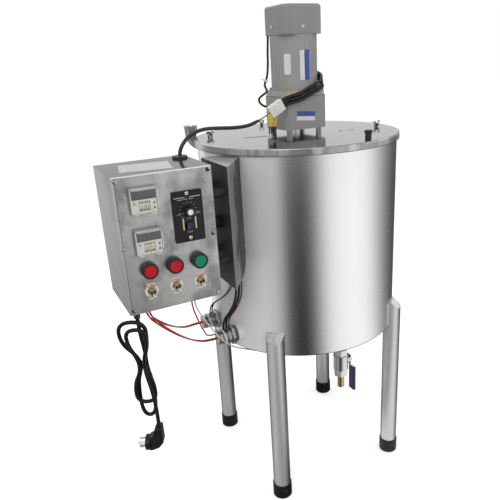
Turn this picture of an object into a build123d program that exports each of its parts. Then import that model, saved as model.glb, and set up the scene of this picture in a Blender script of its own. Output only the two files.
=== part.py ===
import math
import os

from build123d import *

os.makedirs("parts", exist_ok=True)

# Jacketed mixing kettle, in millimetres. Z is up from the floor, the front faces -Y and the control
# box hangs on the -X side. Pieces are drawn about the tank's axis and then shifted along X, so that
# the origin lies on the floor in the middle of the whole object.

# Tank and vessel
tank_diameter = 422.0
shell_wall = 1.5
shell_bottom = 358.0
shell_height = 418.0
jacket_width = 41.0
vessel_wall = 1.5
vessel_floor_height = 74.5
vessel_fall = 6.0
flange_thickness = 1.5
weld_gap = 0.15
running_fit = 0.05
slip_fit = 0.2

# Legs and feet
leg_diameter = 38.0
leg_wall = 1.5
leg_offset = 1.5
leg_lap_height = 49.0
leg_top_slope = 40.0
leg_names = {"front_left": -135, "front_right": -45, "back_right": 45, "back_left": 135}
foot_diameter = 42.0
foot_height = 34.0
foot_sole = 5.0
foot_chamfer = 2.0

# Lid
lid_overhang = 5.0
lid_sheet = 1.7
lid_rim = 13.5
lid_gap = 0.3
lid_bend_radius = 2.5
stiffener_length = 290.0
stiffener_thickness = 4.0
stiffener_depth = 12.0
stiffener_offset = 24.0
stiffener_angle = -16.5
knob_inset = 27.0
knob_angle = -71.0
knob_head_diameter = 16.5
knob_neck_diameter = 12.5
knob_height = 15.0
knob_rim_low = 12.0
knob_rim_high = 13.5
knob_stud_diameter = 5.0

# Wing screws
screw_inset = 28.0
screw_diameter = 6.0
screw_reach = 17.0
screw_hub_diameter = 11.0
screw_hub_height = 6.0
wing_length = 8.0
wing_width = 6.5
wing_thickness = 2.6
wing_rise = 38.0
wing_screws = {"left": (155.0, 0.0), "right": (-15.0, -15.0), "back": (87.0, 20.0)}

# Gear motor
standoff_height = 12.0
standoff_diameter = 12.0
standoff_pitch = 70.0
gearbox_side = 94.0
gearbox_height = 65.5
gearbox_corner = 6.0
gearbox_floor = 8.0
gearbox_wall = 4.0
motor_flange_height = 11.0
motor_flange_corner = 12.0
motor_diameter = 92.0
motor_rib_count = 72
motor_rib_height = 1.5
motor_rib_width = 1.9
motor_length = 114.0
stator_bore = 58.0
air_gap = 1.0
end_bell_height = 9.0
fan_cover_side = 92.0
fan_cover_corner = 19.0
fan_cover_height = 54.0
fan_cover_wall = 2.4
fan_cover_crown = 6.0
fan_cover_overlap = 8.5
fan_slot_count = 16
fan_slot_width = 3.0
fan_slot_inner = 12.0
fan_slot_length = 20.0
fan_diameter = 74.0
fan_height = 20.0
fan_blades = 8
fan_lift = 6.0
fan_blade_thickness = 2.0
rotor_shaft_diameter = 12.0
rotor_core_length = 70.0

# Gear train
gear_module = 1.0
pinion_teeth = 10
wheel_teeth = 34
gear_backlash = 0.3
gear_addendum = 0.75
gear_dedendum = 1.15
pressure_angle = 20.0
first_gear_drop = 7.0
first_gear_width = 12.0
second_gear_lift = 12.0
second_gear_width = 16.0
countershaft_diameter = 7.0
countershaft_journal = 6.0

# Stirrer
output_shaft_diameter = 15.0
output_shaft_below_lid = 40.0
coupling_diameter = 30.0
coupling_gap = 6.0
stirrer_shaft_diameter = 12.0
paddle_wall_gap = 43.5
paddle_height = 240.0
paddle_thickness = 8.0
paddle_arm_width = 14.0
paddle_foot_height = 20.0
paddle_floor_gap = 14.0
paddle_bar_height = 140.0

# Heaters
heater_back_y = -5.0
heater_back_lift = 42.0
heater_front_y = -72.0
heater_front_lift = 31.0
socket_diameter = 36.0
socket_bore = 26.4
socket_inside = 10.0
socket_reach = 4.0
heater_hex = 36.0
hex_corner = 2 / math.sqrt(3)
heater_hex_height = 8.0
heater_thread_length = 14.0
heater_rod_diameter = 8.0
heater_rod_pitch = 14.0
heater_rod_bend = 6.5
heater_rod_length = 125.0
terminal_diameter = 30.0
terminal_length = 28.0
terminal_collar = 2.0
terminal_collar_length = 7.0

# Jacket filler horn
horn_angle = 140.0
horn_root_drop = 24.0
horn_root_diameter = 12.0
horn_mouth_diameter = 31.0
horn_wall = 1.2
horn_bend_radius = 26.0
horn_bend = 90.0
horn_neck = 20.0
horn_inside = 3.0
horn_stub = 1.5
horn_steps = 5

# Outlet and ball valve
outlet_diameter = 22.0
outlet_wall = 3.0
outlet_run_lift = 34.0
outlet_elbow = 22.0
valve_inset = 46.0
valve_drop = 55.0
valve_body_diameter = 32.0
valve_body_length = 34.0
valve_hex = 27.0
valve_hex_length = 15.0
valve_thread = 12.0
ball_diameter = 22.0
ball_gap = 0.3
valve_bore = 15.0
stem_diameter = 8.0
bonnet_diameter = 15.0
bonnet_reach = 20.0
lever_clearance = 0.5
lever_thickness = 2.5
lever_width = 15.0
lever_hub = 11.0
lever_drop = 12.0
lever_crank = 9.0
lever_length = 76.0
stem_nut = 10.0
stem_nut_height = 4.0
grip_length = 58.0
grip_width = 20.0
grip_thickness = 7.0
grip_overrun = 4.0
grip_end_radius = 3.0
nipple_diameter = 15.0
nipple_bore = 10.0
nipple_length = 29.0
nipple_thread_diameter = 14.0
nipple_undercut = 1.0

# Temperature probes
probe_diameter = 6.0
probe_gland_hex = 17.0
probe_gland_length = 14.0
jacket_probe_angle = -156.0
jacket_probe_lift = 292.0
jacket_probe_depth = 24.0
product_probe_x = -45.0
product_probe_y = -95.0
product_probe_tip = 9.0

# Control box and wire duct
box_gap = 58.0
box_front = -182.5
box_top_drop = 6.0
box_width = 165.5
box_depth = 138.5
box_height = 234.0
box_wall = 1.2
box_lip = 12.0
panel_thickness = 1.5
panel_screw_diameter = 4.0
panel_screw_head = 7.0
panel_screw_head_height = 2.2
panel_screw_length = 8.0
panel_screw_inset = 6.0
box_stud_length = 26.0
box_stud_diameter = 16.0
box_stud_row = 55.0
box_stud_row_pitch = 125.0
box_stud_column = 22.0
box_stud_column_pitch = 76.0
conduit_diameter = 24.0
conduit_bore = 18.0
conduit_column = 60.0
conduit_row = 118.0
duct_wall = 1.5
duct_front_lead = 7.5
duct_back_inset = 22.0
duct_near_angle = -150.0
duct_far_angle = -160.5
duct_top_drop = 12.0
duct_height = 224.0
duct_corner_radius = 40.0
duct_overrun = 14.0

# Panel instruments, measured from the left and lower edges of the panel
controller_column = 46.0
controller_row = 124.2
controller_row_pitch = 69.0
controller_bezel = 45.0
controller_bezel_height = 7.0
controller_body = 41.0
controller_depth = 72.0
controller_window_width = 40.0
controller_window_height = 15.0
controller_window_depth = 1.2
controller_window_lift = 10.5
thumbwheel_diameter = 15.0
thumbwheel_width = 5.0
thumbwheel_pitch = 6.0
thumbwheel_count = 3
thumbwheel_recess = 0.6
thumbwheel_gap = 0.6
thumbwheel_axle = 3.0
thumbwheel_axle_end = 1.5
thumbwheel_drop = 8.5
speed_column = 118.0
speed_row = 154.5
speed_width = 52.5
speed_height = 87.5
speed_thickness = 2.5
speed_corner = 2.0
speed_body_width = 46.0
speed_body_height = 72.0
speed_body_depth = 45.0
speed_knob_lift = 9.5
speed_knob_diameter = 17.0
speed_knob_height = 12.0
speed_knob_taper = 4.0
speed_knob_gap = 0.4
speed_spindle_diameter = 6.0
speed_spindle_length = 14.0
rocker_drop = 16.0
rocker_width = 12.0
rocker_height = 10.0
rocker_depth = 9.0
rocker_reach = 2.0
rocker_gap = 1.4
rocker_side_gap = 0.4
rocker_axle = 2.4
rocker_axle_end = 1.2
rocker_tilt = 7.0
lamp_column = 41.0
lamp_column_pitch = 43.7
lamp_count = 3
lamp_row = 75.0
lamp_bezel_diameter = 28.0
lamp_bezel_height = 10.0
lamp_barrel_diameter = 21.8
lamp_barrel_length = 34.0
lamp_lens_diameter = 24.0
lamp_lens_height = 8.0
lamp_lens_fillet = 0.8
lamp_floor = 3.0
toggle_row = 37.0
toggle_body_width = 13.0
toggle_body_height = 27.0
toggle_body_depth = 24.0
toggle_bush_diameter = 12.0
toggle_bush_length = 9.0
toggle_nut = 15.0
toggle_nut_height = 2.5
toggle_seat = 6.0
toggle_mouth = 9.2
toggle_pivot = 2.5
toggle_ball = 5.6
toggle_neck = 3.2
toggle_tip = 5.2
toggle_pin_diameter = 1.6
toggle_pin_length = 9.0
toggle_length = 19.0
toggle_tilt = -13.0
legend_diameter = 23.0
legend_tab_width = 14.0
legend_tab_height = 28.0
legend_thickness = 1.0

# Cables and wires
motor_cable_diameter = 7.0
cable_clearance = 0.3
grommet_diameter = 28.0
grommet_rise = 4.5
grommet_neck = 18.0
grommet_side_inset = 18.0
grommet_back_inset = 33.0
cable_slack = 195.0
cable_rise = 10.0
cable_arch = ((0.04, 14.5), (0.13, 28.5), (0.3, 36.5), (0.49, 34.0), (0.66, 31.0), (0.83, 31.5))
cable_last_run = 22.0
connector_length = 32.0
connector_width = 22.0
connector_height = 12.0
connector_latch = 3.0
connector_rise = 28.0
connector_out = 40.5
connector_lift = 39.0
lead_off = 5.0
lead_diameter = 6.0
lead_count = 3
lead_pitch = 6.6
earth_lead_diameter = 2.2
fan_lead_diameter = 4.5
spare_lead_diameter = 6.0
lead_last_run = 12.0
# Rows round the motor: angle, distance off the ribs, height over the flange
sleeve_rows = ((-8.0, 0.0, 25.0), (-24.0, 3.0, 22.5), (-38.0, 6.0, 16.5))
fan_lead_rows = ((155.0, 0.0, 105.0), (157.0, 0.5, 77.0), (159.0, 0.0, 49.0), (163.0, 1.0, 26.0))
# Rows beside the gearbox: distance across, distance out, height over the flange
sleeve_front_rows = ((34.0, 5.5, 9.0), (9.0, 5.0, -0.5), (-19.0, 5.0, -13.0))
earth_front_rows = ((-20.0, 1.6, -1.5), (-34.0, 3.0, -4.0))
earth_off = (9.0, 4.0)
fan_lead_side_rows = (
    (12.0, 8.0, 10.0),
    (-4.0, 16.0, 0.0),
    (-10.0, 30.0, -6.0),
    (-14.0, 38.0, -13.0),
    (-22.0, 37.0, -21.0),
)
# Rows below the connector: distance across and drop of the hanging spare lead
spare_lead_reach = 12.0
spare_lead_rows = ((0.0, 0.0), (0.8, 13.0), (3.5, 25.0))
wire_diameter = 3.0
wire_hole = 11.0
wire_spread = 5.0
wire_inside = 10.0
wire_below = 14.0
wire_last_run = 20.0
heater_wire_column = 31.5
heater_wire_back = 16.5
probe_wire_column = 113.5
probe_wire_back = 10.5
heater_wire_rows = ((12.0, -6.0), (10.0, -16.0))
heater_wire_steps = 5
under_edge_y = -62.0
under_edge_drop = 7.5
under_edge_sag = 6.0
under_edge_bow = 12.0
under_edge_steps = 3
probe_lead_sag = 14.0
probe_lead_steps = 5
probe_lead_drop = 35.0
probe_lead_side = 35.0
control_lead_sag = 10.0
control_lead_bow = -4.0
control_lead_steps = 4
duct_lead_steps = 4
duct_lead_gap = 1.6
# Leads from the duct: heater that each goes to, and its diameter; then how far in and bowed for each heater
duct_lead_rows = ((0, 3.0), (0, 3.0), (1, 5.0), (1, 5.0), (1, 3.0))
duct_lead_ends = (17.0, 12.0)
duct_lead_bows = (20.0, 16.0)
duct_lead_in = 6.0
duct_lead_back = 50.0
duct_lead_rise = 40.0
duct_lead_step = 2.0
duct_lead_foot = 8.0
duct_lead_sag = 6.0
bend_share = 0.45
cord_sample_count = 600
cord_sample_gap = 3

# Mains cord, gland and hank: sizes across and up are taken from the hank's tied waist
cord_diameter = 7.0
gland_column = 13.0
gland_back = 13.5
gland_flange = 17.0
gland_flange_height = 3.0
gland_neck = 12.0
gland_nose = 11.0
gland_nose_length = 9.0
hank_turn = -26.9
hank_loops = 2
hank_pitch = 8.0
hank_drop = 99.0
hank_shift = 0.5
hank_waist_half = 4.6
hank_left_bow = 34.0
hank_left_step = 14.0
hank_left_height = 58.0
hank_right_bow = 13.0
hank_right_height = 54.0
hank_top = 83.0
hank_top_step = 11.0
hank_low_bow = 13.0
hank_low_step = 4.0
hank_low_height = 45.0
hank_bottom = 104.0
hank_bottom_step = 33.0
tail_bow = 14.0
tail_drop = 117.0
tail_across = 17.0

# Plug: a moulded boot, its outline given across and up from where the cord enters
plug_outline = (
    (5.5, 0.0),
    (5.9, -32.5),
    (-2.3, -42.2),
    (-13.0, -46.6),
    (-20.0, -48.0),
    (-20.0, -22.0),
    (-12.1, -17.6),
    (-8.5, -6.0),
    (-5.5, 0.0),
)
plug_width = 21.0
plug_round = 2.0
plug_disc_diameter = 29.0
plug_disc_length = 8.5
plug_face = 26.5
plug_drop = 35.0
plug_slot_count = 3
plug_slot_pitch = 4.0
plug_slot_gap = 1.6
plug_slot_reach = 10.0
plug_core_half = 4.2
plug_pin_length = 14.0
plug_pin_width = 6.4
plug_pin_thickness = 1.7
plug_pin_spread = 7.0
plug_pin_lean = 30.0
plug_pin_drop = 8.0

# Values that follow from the sizes above
tank_radius = tank_diameter / 2
vessel_radius = tank_radius - jacket_width
shell_top = shell_bottom + shell_height
flange_top = shell_top + flange_thickness
floor_edge = shell_bottom + vessel_floor_height
floor_centre = floor_edge - vessel_fall
outlet_radius = outlet_diameter / 2
outlet_run_height = shell_bottom + outlet_run_lift
leg_top = shell_bottom + leg_lap_height
lid_diameter = tank_diameter + 2 * lid_overhang
knob_circle = tank_radius - knob_inset
screw_circle = tank_radius - screw_inset
paddle_span = 2 * (vessel_radius - vessel_wall - paddle_wall_gap)
heater_places = [
    (heater_back_y, shell_bottom + heater_back_lift),
    (heater_front_y, shell_bottom + heater_front_lift),
]
horn_root_height = shell_top - horn_root_drop
jacket_probe_height = shell_bottom + jacket_probe_lift
lid_bottom = flange_top + lid_gap
lid_top = lid_bottom + lid_sheet
gearbox_bottom = lid_top + standoff_height
gearbox_top = gearbox_bottom + gearbox_height
flange_plate_top = gearbox_top + motor_flange_height
motor_top = flange_plate_top + motor_length
fan_cover_bottom = motor_top - fan_cover_overlap
fan_cover_top = fan_cover_bottom + fan_cover_height
gear_distance = gear_module * (pinion_teeth + wheel_teeth) / 2
first_gear_top = gearbox_top - first_gear_drop
second_gear_bottom = gearbox_bottom + gearbox_floor + second_gear_lift
box_right = -tank_radius - box_gap
box_left = box_right - box_width
box_back = box_front + box_depth
box_top = shell_top - box_top_drop
box_bottom = box_top - box_height
box_stud_rows = (box_stud_row, box_stud_row + box_stud_row_pitch)
box_stud_columns = (box_stud_column, box_stud_column + box_stud_column_pitch)
duct_outer = box_right + box_stud_length
duct_near = box_front - duct_front_lead
duct_far = box_back - duct_back_inset
duct_top = shell_top - duct_top_drop
duct_bottom = duct_top - duct_height
controller_rows = {"upper": controller_row + controller_row_pitch, "lower": controller_row}
lamp_columns = [lamp_column + lamp_column_pitch * number for number in range(lamp_count)]
grommet_x = box_right - grommet_side_inset
grommet_y = box_back - grommet_back_inset
heater_wire_x = box_left + heater_wire_column
heater_wire_y = box_front + heater_wire_back
probe_wire_x = box_left + probe_wire_column
probe_wire_y = box_front + probe_wire_back
gland_x = box_left + gland_column
gland_y = box_front + gland_back
valve_front = tank_radius - valve_inset
valve_height = shell_bottom - valve_drop
valve_axis = (0, -valve_front)
valve_end = valve_body_length / 2 + valve_hex_length
cord_exit = gland_flange_height + gland_nose_length
gearbox_half = gearbox_side / 2
frame_shift = -(box_left + lid_diameter / 2) / 2


def finish(piece, node):
    piece.part.locate(Location((frame_shift, 0, 0)))
    piece.part.label = node
    export_step(piece.part, f"parts/{node}.step")


def polar(radius, angle, height=0.0):
    turn = math.radians(angle)
    return (radius * math.cos(turn), radius * math.sin(turn), height)


def radial_plane(angle, radius, height):
    return Plane(origin=polar(radius, angle, height), x_dir=(0, 0, 1), z_dir=polar(1, angle))


def side_plane(x, y, z):
    return Plane(origin=(x, y, z), x_dir=(0, -1, 0), z_dir=(-1, 0, 0))


def panel_plane(column, row, out=0.0):
    place = (box_left + column, box_front - out, box_bottom + row)
    return Plane(origin=place, x_dir=(1, 0, 0), z_dir=(0, -1, 0))


def up_plane(x, y, z):
    return Plane(origin=(x, y, z), x_dir=(1, 0, 0), z_dir=(0, 0, 1))


def wall_at(y):
    return -math.sqrt(tank_radius**2 - y**2)


def socket_face(y):
    nearest = max(abs(y) - heater_hex * hex_corner / 2, 0)
    return wall_at(nearest) - socket_reach


def hang(start, end, sag, bow, steps):
    points = []
    for step in range(1, steps):
        share = step / steps
        belly = 4 * share * (1 - share)
        points.append(
            (
                start[0] + (end[0] - start[0]) * share + bow[0] * belly,
                start[1] + (end[1] - start[1]) * share + bow[1] * belly,
                start[2] + (end[2] - start[2]) * share - sag * belly,
            )
        )
    return points


def bend_radii(points):
    radii = []
    for before, here, after in zip(points, points[1:], points[2:]):
        way_in = Vector(*here) - Vector(*before)
        way_out = Vector(*after) - Vector(*here)
        turn = math.radians(way_in.get_angle(way_out))
        radii.append(bend_share * min(way_in.length, way_out.length) / math.tan(turn / 2))
    return radii


def make_tube(name, points, diameter):
    radii = bend_radii(points)
    with BuildLine() as route:
        FilletPolyline(*points, radius=radii)
    wire = route.wires()[0]
    with BuildPart() as tube:
        with BuildSketch(Plane(origin=wire @ 0, z_dir=wire % 0)):
            Circle(diameter / 2)
        sweep(path=wire)
    ratio = tube.part.volume / (wire.length * math.pi * diameter**2 / 4)
    print(name, "volume over section times length", round(ratio, 4), "radii", [round(r) for r in radii])
    return tube.part


def biarc(start, start_way, end, end_way):
    way = end - start
    lean = way.dot(start_way + end_way)
    turn = 2 * (1 - start_way.dot(end_way))
    if turn < 1e-9:
        reach = way.dot(way) / (4 * way.dot(end_way))
    else:
        reach = (math.sqrt(lean**2 + turn * way.dot(way)) - lean) / turn
    joint = (start + start_way * reach + end - end_way * reach) * 0.5
    first = TangentArc(start, joint, tangent=start_way)
    TangentArc(joint, end, tangent=first % 1)


def gear_points(teeth, turn):
    pitch = gear_module * teeth / 2
    tip = pitch + gear_addendum * gear_module
    root = pitch - gear_dedendum * gear_module
    half_tooth = math.pi * gear_module / 4 - gear_backlash / 2
    slope = math.tan(math.radians(pressure_angle))
    half_root = (half_tooth + (pitch - root) * slope) / root
    half_tip = (half_tooth + (pitch - tip) * slope) / tip
    points = []
    for tooth in range(teeth):
        middle = math.radians(turn) + 2 * math.pi * tooth / teeth
        for radius, angle in ((root, -half_root), (tip, -half_tip), (tip, half_tip), (root, half_root)):
            points.append((radius * math.cos(middle + angle), radius * math.sin(middle + angle)))
    return points


# Jacket shell with its base, heater sockets and ports
with BuildPart() as jacket_shell:
    with BuildSketch(Plane.XZ):
        with BuildLine():
            Polyline(
                (0, shell_bottom),
                (tank_radius, shell_bottom),
                (tank_radius, shell_top),
                (tank_radius - shell_wall, shell_top),
                (tank_radius - shell_wall, shell_bottom + shell_wall),
                (0, shell_bottom + shell_wall),
                close=True,
            )
        make_face()
    revolve(axis=Axis.Z)
    for y, z in heater_places:
        with BuildSketch(side_plane(wall_at(y) + socket_inside, y, z)):
            Circle(socket_diameter / 2)
        extrude(amount=wall_at(y) + socket_inside - socket_face(y))
    for y, z in heater_places:
        with BuildSketch(side_plane(wall_at(y) + socket_inside, y, z)):
            Circle(socket_bore / 2)
        extrude(amount=wall_at(y) + socket_inside - socket_face(y), mode=Mode.SUBTRACT)
    with BuildSketch(radial_plane(horn_angle, 0, horn_root_height)):
        Circle(horn_root_diameter / 2 + weld_gap)
    extrude(amount=tank_diameter, mode=Mode.SUBTRACT)
    with BuildSketch(radial_plane(jacket_probe_angle, 0, jacket_probe_height)):
        Circle(probe_diameter / 2 + weld_gap)
    extrude(amount=tank_diameter, mode=Mode.SUBTRACT)
    with BuildSketch(Plane.XY.offset(shell_bottom)):
        with Locations((0, -valve_front)):
            Circle(outlet_radius + weld_gap)
        with Locations((product_probe_x, product_probe_y)):
            Circle(probe_diameter / 2 + weld_gap)
    extrude(amount=shell_wall, mode=Mode.SUBTRACT)
finish(jacket_shell, "jacket_shell")

# Inner vessel with a flange that closes the jacket
with BuildPart() as inner_vessel:
    with BuildSketch(Plane.XZ):
        with BuildLine():
            Polyline(
                (outlet_radius + weld_gap, floor_centre),
                (vessel_radius - vessel_wall, floor_edge),
                (vessel_radius - vessel_wall, flange_top),
                (tank_radius, flange_top),
                (tank_radius, shell_top),
                (vessel_radius, shell_top),
                (vessel_radius, floor_edge - vessel_wall),
                (outlet_radius + weld_gap, floor_centre - vessel_wall),
                close=True,
            )
        make_face()
    revolve(axis=Axis.Z)
    for angle, turn in wing_screws.values():
        with BuildSketch(up_plane(*polar(screw_circle, angle, shell_top))):
            Circle(screw_diameter / 2 + slip_fit)
        extrude(amount=flange_thickness, mode=Mode.SUBTRACT)
    with BuildSketch(up_plane(product_probe_x, product_probe_y, shell_bottom)):
        Circle(probe_diameter / 2 + weld_gap)
    extrude(amount=vessel_floor_height, mode=Mode.SUBTRACT)
finish(inner_vessel, "inner_vessel")

# Outlet pipe: from the vessel's floor through the jacket to the front, then down
outlet_end = valve_height + valve_end - valve_thread
outlet_points = [
    (0, 0, floor_centre),
    (0, 0, outlet_run_height),
    (0, -valve_front, outlet_run_height),
    (0, -valve_front, outlet_end),
]
with BuildPart() as outlet_pipe:
    with BuildLine() as outlet_route:
        FilletPolyline(*outlet_points, radius=outlet_elbow)
    with BuildSketch(Plane(origin=outlet_points[0], z_dir=(0, 0, -1))):
        Circle(outlet_radius)
        Circle(outlet_radius - outlet_wall, mode=Mode.SUBTRACT)
    sweep(path=outlet_route.line)
finish(outlet_pipe, "outlet_pipe")

# Immersion heaters: threaded plug, hexagon and a hairpin rod each
with BuildPart() as heaters:
    for y, z in heater_places:
        socket_end = socket_face(y)
        with BuildSketch(side_plane(socket_end, y, z)):
            RegularPolygon(heater_hex / 2, 6, major_radius=False)
        extrude(amount=heater_hex_height)
        with BuildSketch(side_plane(socket_end, y, z)):
            Circle(socket_bore / 2 - slip_fit)
        extrude(amount=-heater_thread_length)
        rod_start = socket_end + heater_thread_length - heater_rod_diameter / 2
        rod_end = rod_start + heater_rod_length
        low_y = y - heater_rod_pitch / 2
        high_y = y + heater_rod_pitch / 2
        with BuildLine() as hairpin:
            FilletPolyline(
                (rod_start, low_y, z),
                (rod_end, low_y, z),
                (rod_end, high_y, z),
                (rod_start, high_y, z),
                radius=heater_rod_bend,
            )
        with BuildSketch(Plane(origin=(rod_start, low_y, z), z_dir=(1, 0, 0))) as rod:
            Circle(heater_rod_diameter / 2)
        sweep(sections=rod.sketch, path=hairpin.line)
finish(heaters, "heaters")

# Terminal heads over the heater hexagons
terminal_faces = []
with BuildPart() as heater_terminals:
    for y, z in heater_places:
        terminal_start = socket_face(y) - heater_hex_height
        terminal_faces.append(terminal_start - terminal_length)
        with BuildSketch(side_plane(terminal_start, y, z)):
            Circle(terminal_diameter / 2)
        extrude(amount=terminal_length)
        with BuildSketch(side_plane(terminal_start, y, z)):
            Circle(terminal_diameter / 2 + terminal_collar)
        extrude(amount=terminal_collar_length)
finish(heater_terminals, "heater_terminals")

# Jacket filler horn: a widening bend that ends in an upright mouth
def horn_sections(shrink):
    start = tank_radius + horn_stub
    total = math.radians(horn_bend) * horn_bend_radius + horn_neck
    sections = []
    for step in range(horn_steps + 1):
        lean = math.radians(horn_bend) * min(step, horn_steps - 1) / (horn_steps - 1)
        neck = horn_neck if step == horn_steps else 0.0
        out = start + horn_bend_radius * math.sin(lean) + neck * math.cos(lean)
        up = horn_root_height + horn_bend_radius * (1 - math.cos(lean)) + neck * math.sin(lean)
        share = (lean * horn_bend_radius + neck) / total
        radius = (horn_root_diameter + (horn_mouth_diameter - horn_root_diameter) * share) / 2
        heading = polar(math.cos(lean), horn_angle, math.sin(lean))
        sections.append((polar(out, horn_angle, up), heading, radius - shrink))
    return sections


horn_across = polar(1, horn_angle + 90)
with BuildPart() as filler_horn:
    with BuildSketch(radial_plane(horn_angle, tank_radius - shell_wall - horn_inside, horn_root_height)):
        Circle(horn_root_diameter / 2)
    extrude(amount=horn_inside + shell_wall + horn_stub)
    for place, heading, radius in horn_sections(0.0):
        with BuildSketch(Plane(origin=place, x_dir=horn_across, z_dir=heading)):
            Circle(radius)
    loft()
    with BuildSketch(radial_plane(horn_angle, tank_radius - shell_wall - horn_inside, horn_root_height)):
        Circle(horn_root_diameter / 2 - horn_wall)
    extrude(amount=horn_inside + shell_wall + horn_stub, mode=Mode.SUBTRACT)
    for place, heading, radius in horn_sections(horn_wall):
        with BuildSketch(Plane(origin=place, x_dir=horn_across, z_dir=heading)):
            Circle(radius)
    loft(mode=Mode.SUBTRACT)
finish(filler_horn, "filler_horn")

# Legs: tubes coped round the tank wall, with slanted tops, and their feet
leg_circle = tank_radius + leg_offset
for name, angle in leg_names.items():
    leg_x, leg_y, _ = polar(leg_circle, angle)
    slope = math.radians(leg_top_slope)
    slant = Plane(
        origin=polar(tank_radius, angle, leg_top),
        z_dir=polar(math.sin(slope), angle, math.cos(slope)),
    )
    with BuildPart() as leg:
        with BuildSketch(up_plane(leg_x, leg_y, foot_sole)):
            Circle(leg_diameter / 2)
        extrude(amount=leg_top - foot_sole)
        with BuildSketch(up_plane(leg_x, leg_y, foot_sole)):
            Circle(leg_diameter / 2 - leg_wall)
        extrude(amount=shell_bottom - foot_sole - leg_wall, mode=Mode.SUBTRACT)
        with BuildSketch(Plane.XY.offset(shell_bottom)):
            Circle(tank_radius + weld_gap)
        extrude(amount=shell_height, mode=Mode.SUBTRACT)
        split(bisect_by=slant, keep=Keep.BOTTOM)
    finish(leg, f"leg_{name}")
    with BuildPart() as foot:
        with BuildSketch(up_plane(leg_x, leg_y, 0)):
            Circle(foot_diameter / 2)
        extrude(amount=foot_height)
        chamfer(foot.edges().filter_by(GeomType.CIRCLE).group_by(Axis.Z)[-1], foot_chamfer / 2)
        chamfer(foot.edges().filter_by(GeomType.CIRCLE).group_by(Axis.Z)[0], foot_chamfer)
        with BuildSketch(up_plane(leg_x, leg_y, foot_sole)):
            Circle(leg_diameter / 2 + running_fit)
        extrude(amount=foot_height, mode=Mode.SUBTRACT)
    finish(foot, f"foot_{name}")

# Lid with turned-down rim, stiffener and holes
stiffener_plane = Plane(
    origin=(*polar(stiffener_offset, stiffener_angle - 90)[:2], lid_bottom),
    x_dir=polar(1, stiffener_angle),
    z_dir=(0, 0, -1),
)
with BuildPart() as lid:
    with BuildSketch(Plane.XZ):
        with BuildLine():
            Polyline(
                (output_shaft_diameter / 2 + slip_fit, lid_bottom),
                (lid_diameter / 2 - lid_sheet, lid_bottom),
                (lid_diameter / 2 - lid_sheet, lid_top - lid_rim),
                (lid_diameter / 2, lid_top - lid_rim),
                (lid_diameter / 2, lid_top),
                (output_shaft_diameter / 2 + slip_fit, lid_top),
                close=True,
            )
        make_face()
    revolve(axis=Axis.Z)
    outer_edge = lid.edges().filter_by(GeomType.CIRCLE).filter_by_position(Axis.Z, lid_top, lid_top)
    fillet(outer_edge.sort_by(SortBy.RADIUS)[-1], lid_bend_radius)
    with BuildSketch(stiffener_plane):
        Rectangle(stiffener_length, stiffener_thickness)
    extrude(amount=stiffener_depth)
    for angle, turn in wing_screws.values():
        with BuildSketch(up_plane(*polar(screw_circle, angle, lid_bottom))):
            Circle(screw_diameter / 2 + running_fit)
        extrude(amount=lid_sheet, mode=Mode.SUBTRACT)
    with BuildSketch(up_plane(*polar(knob_circle, knob_angle, lid_bottom))):
        Circle(knob_stud_diameter / 2 + running_fit)
    extrude(amount=lid_sheet, mode=Mode.SUBTRACT)
finish(lid, "lid")

# Lid knob: a mushroom on a stud
knob_plane = Plane(origin=polar(knob_circle, knob_angle), x_dir=(1, 0, 0), z_dir=(0, -1, 0))
knob_axis = Axis(polar(knob_circle, knob_angle), (0, 0, 1))
with BuildPart() as lid_knob:
    with BuildSketch(knob_plane):
        with BuildLine():
            Polyline(
                (0, lid_bottom),
                (knob_stud_diameter / 2, lid_bottom),
                (knob_stud_diameter / 2, lid_top),
                (knob_neck_diameter / 2, lid_top),
                (knob_neck_diameter / 2, lid_top + knob_height / 2),
                (knob_head_diameter / 2, lid_top + knob_rim_low),
                (knob_head_diameter / 2, lid_top + knob_rim_high),
                (knob_neck_diameter / 2, lid_top + knob_height),
                (0, lid_top + knob_height),
                close=True,
            )
        make_face()
    revolve(axis=knob_axis)
finish(lid_knob, "lid_knob")

# Wing screws: shank, hub and two rising wings
for name, (angle, turn) in wing_screws.items():
    screw_x, screw_y, _ = polar(screw_circle, angle)
    hub_bottom = lid_top + lid_gap
    with BuildPart() as wing_screw:
        with BuildSketch(up_plane(screw_x, screw_y, hub_bottom - screw_reach)):
            Circle(screw_diameter / 2)
        extrude(amount=screw_reach)
        with BuildSketch(up_plane(screw_x, screw_y, hub_bottom)):
            Circle(screw_hub_diameter / 2)
        extrude(amount=screw_hub_height)
        for side in (0, 180):
            rise = math.radians(wing_rise)
            along = polar(math.sin(rise), turn + side, math.cos(rise))
            across = polar(1, turn + side + 90)
            root = (screw_x, screw_y, hub_bottom + screw_hub_height / 2)
            with BuildSketch(Plane(origin=root, x_dir=along, z_dir=across)):
                with Locations((wing_length / 2 + wing_width / 4, 0)):
                    SlotOverall(wing_length + wing_width / 2, wing_width)
            extrude(amount=wing_thickness / 2, both=True)
    finish(wing_screw, f"wing_screw_{name}")

# Standoffs between lid and gearbox
with BuildPart() as standoffs:
    with BuildSketch(Plane.XY.offset(lid_top)):
        with GridLocations(standoff_pitch, standoff_pitch, 2, 2):
            Circle(standoff_diameter / 2)
    extrude(amount=standoff_height)
finish(standoffs, "standoffs")

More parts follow.
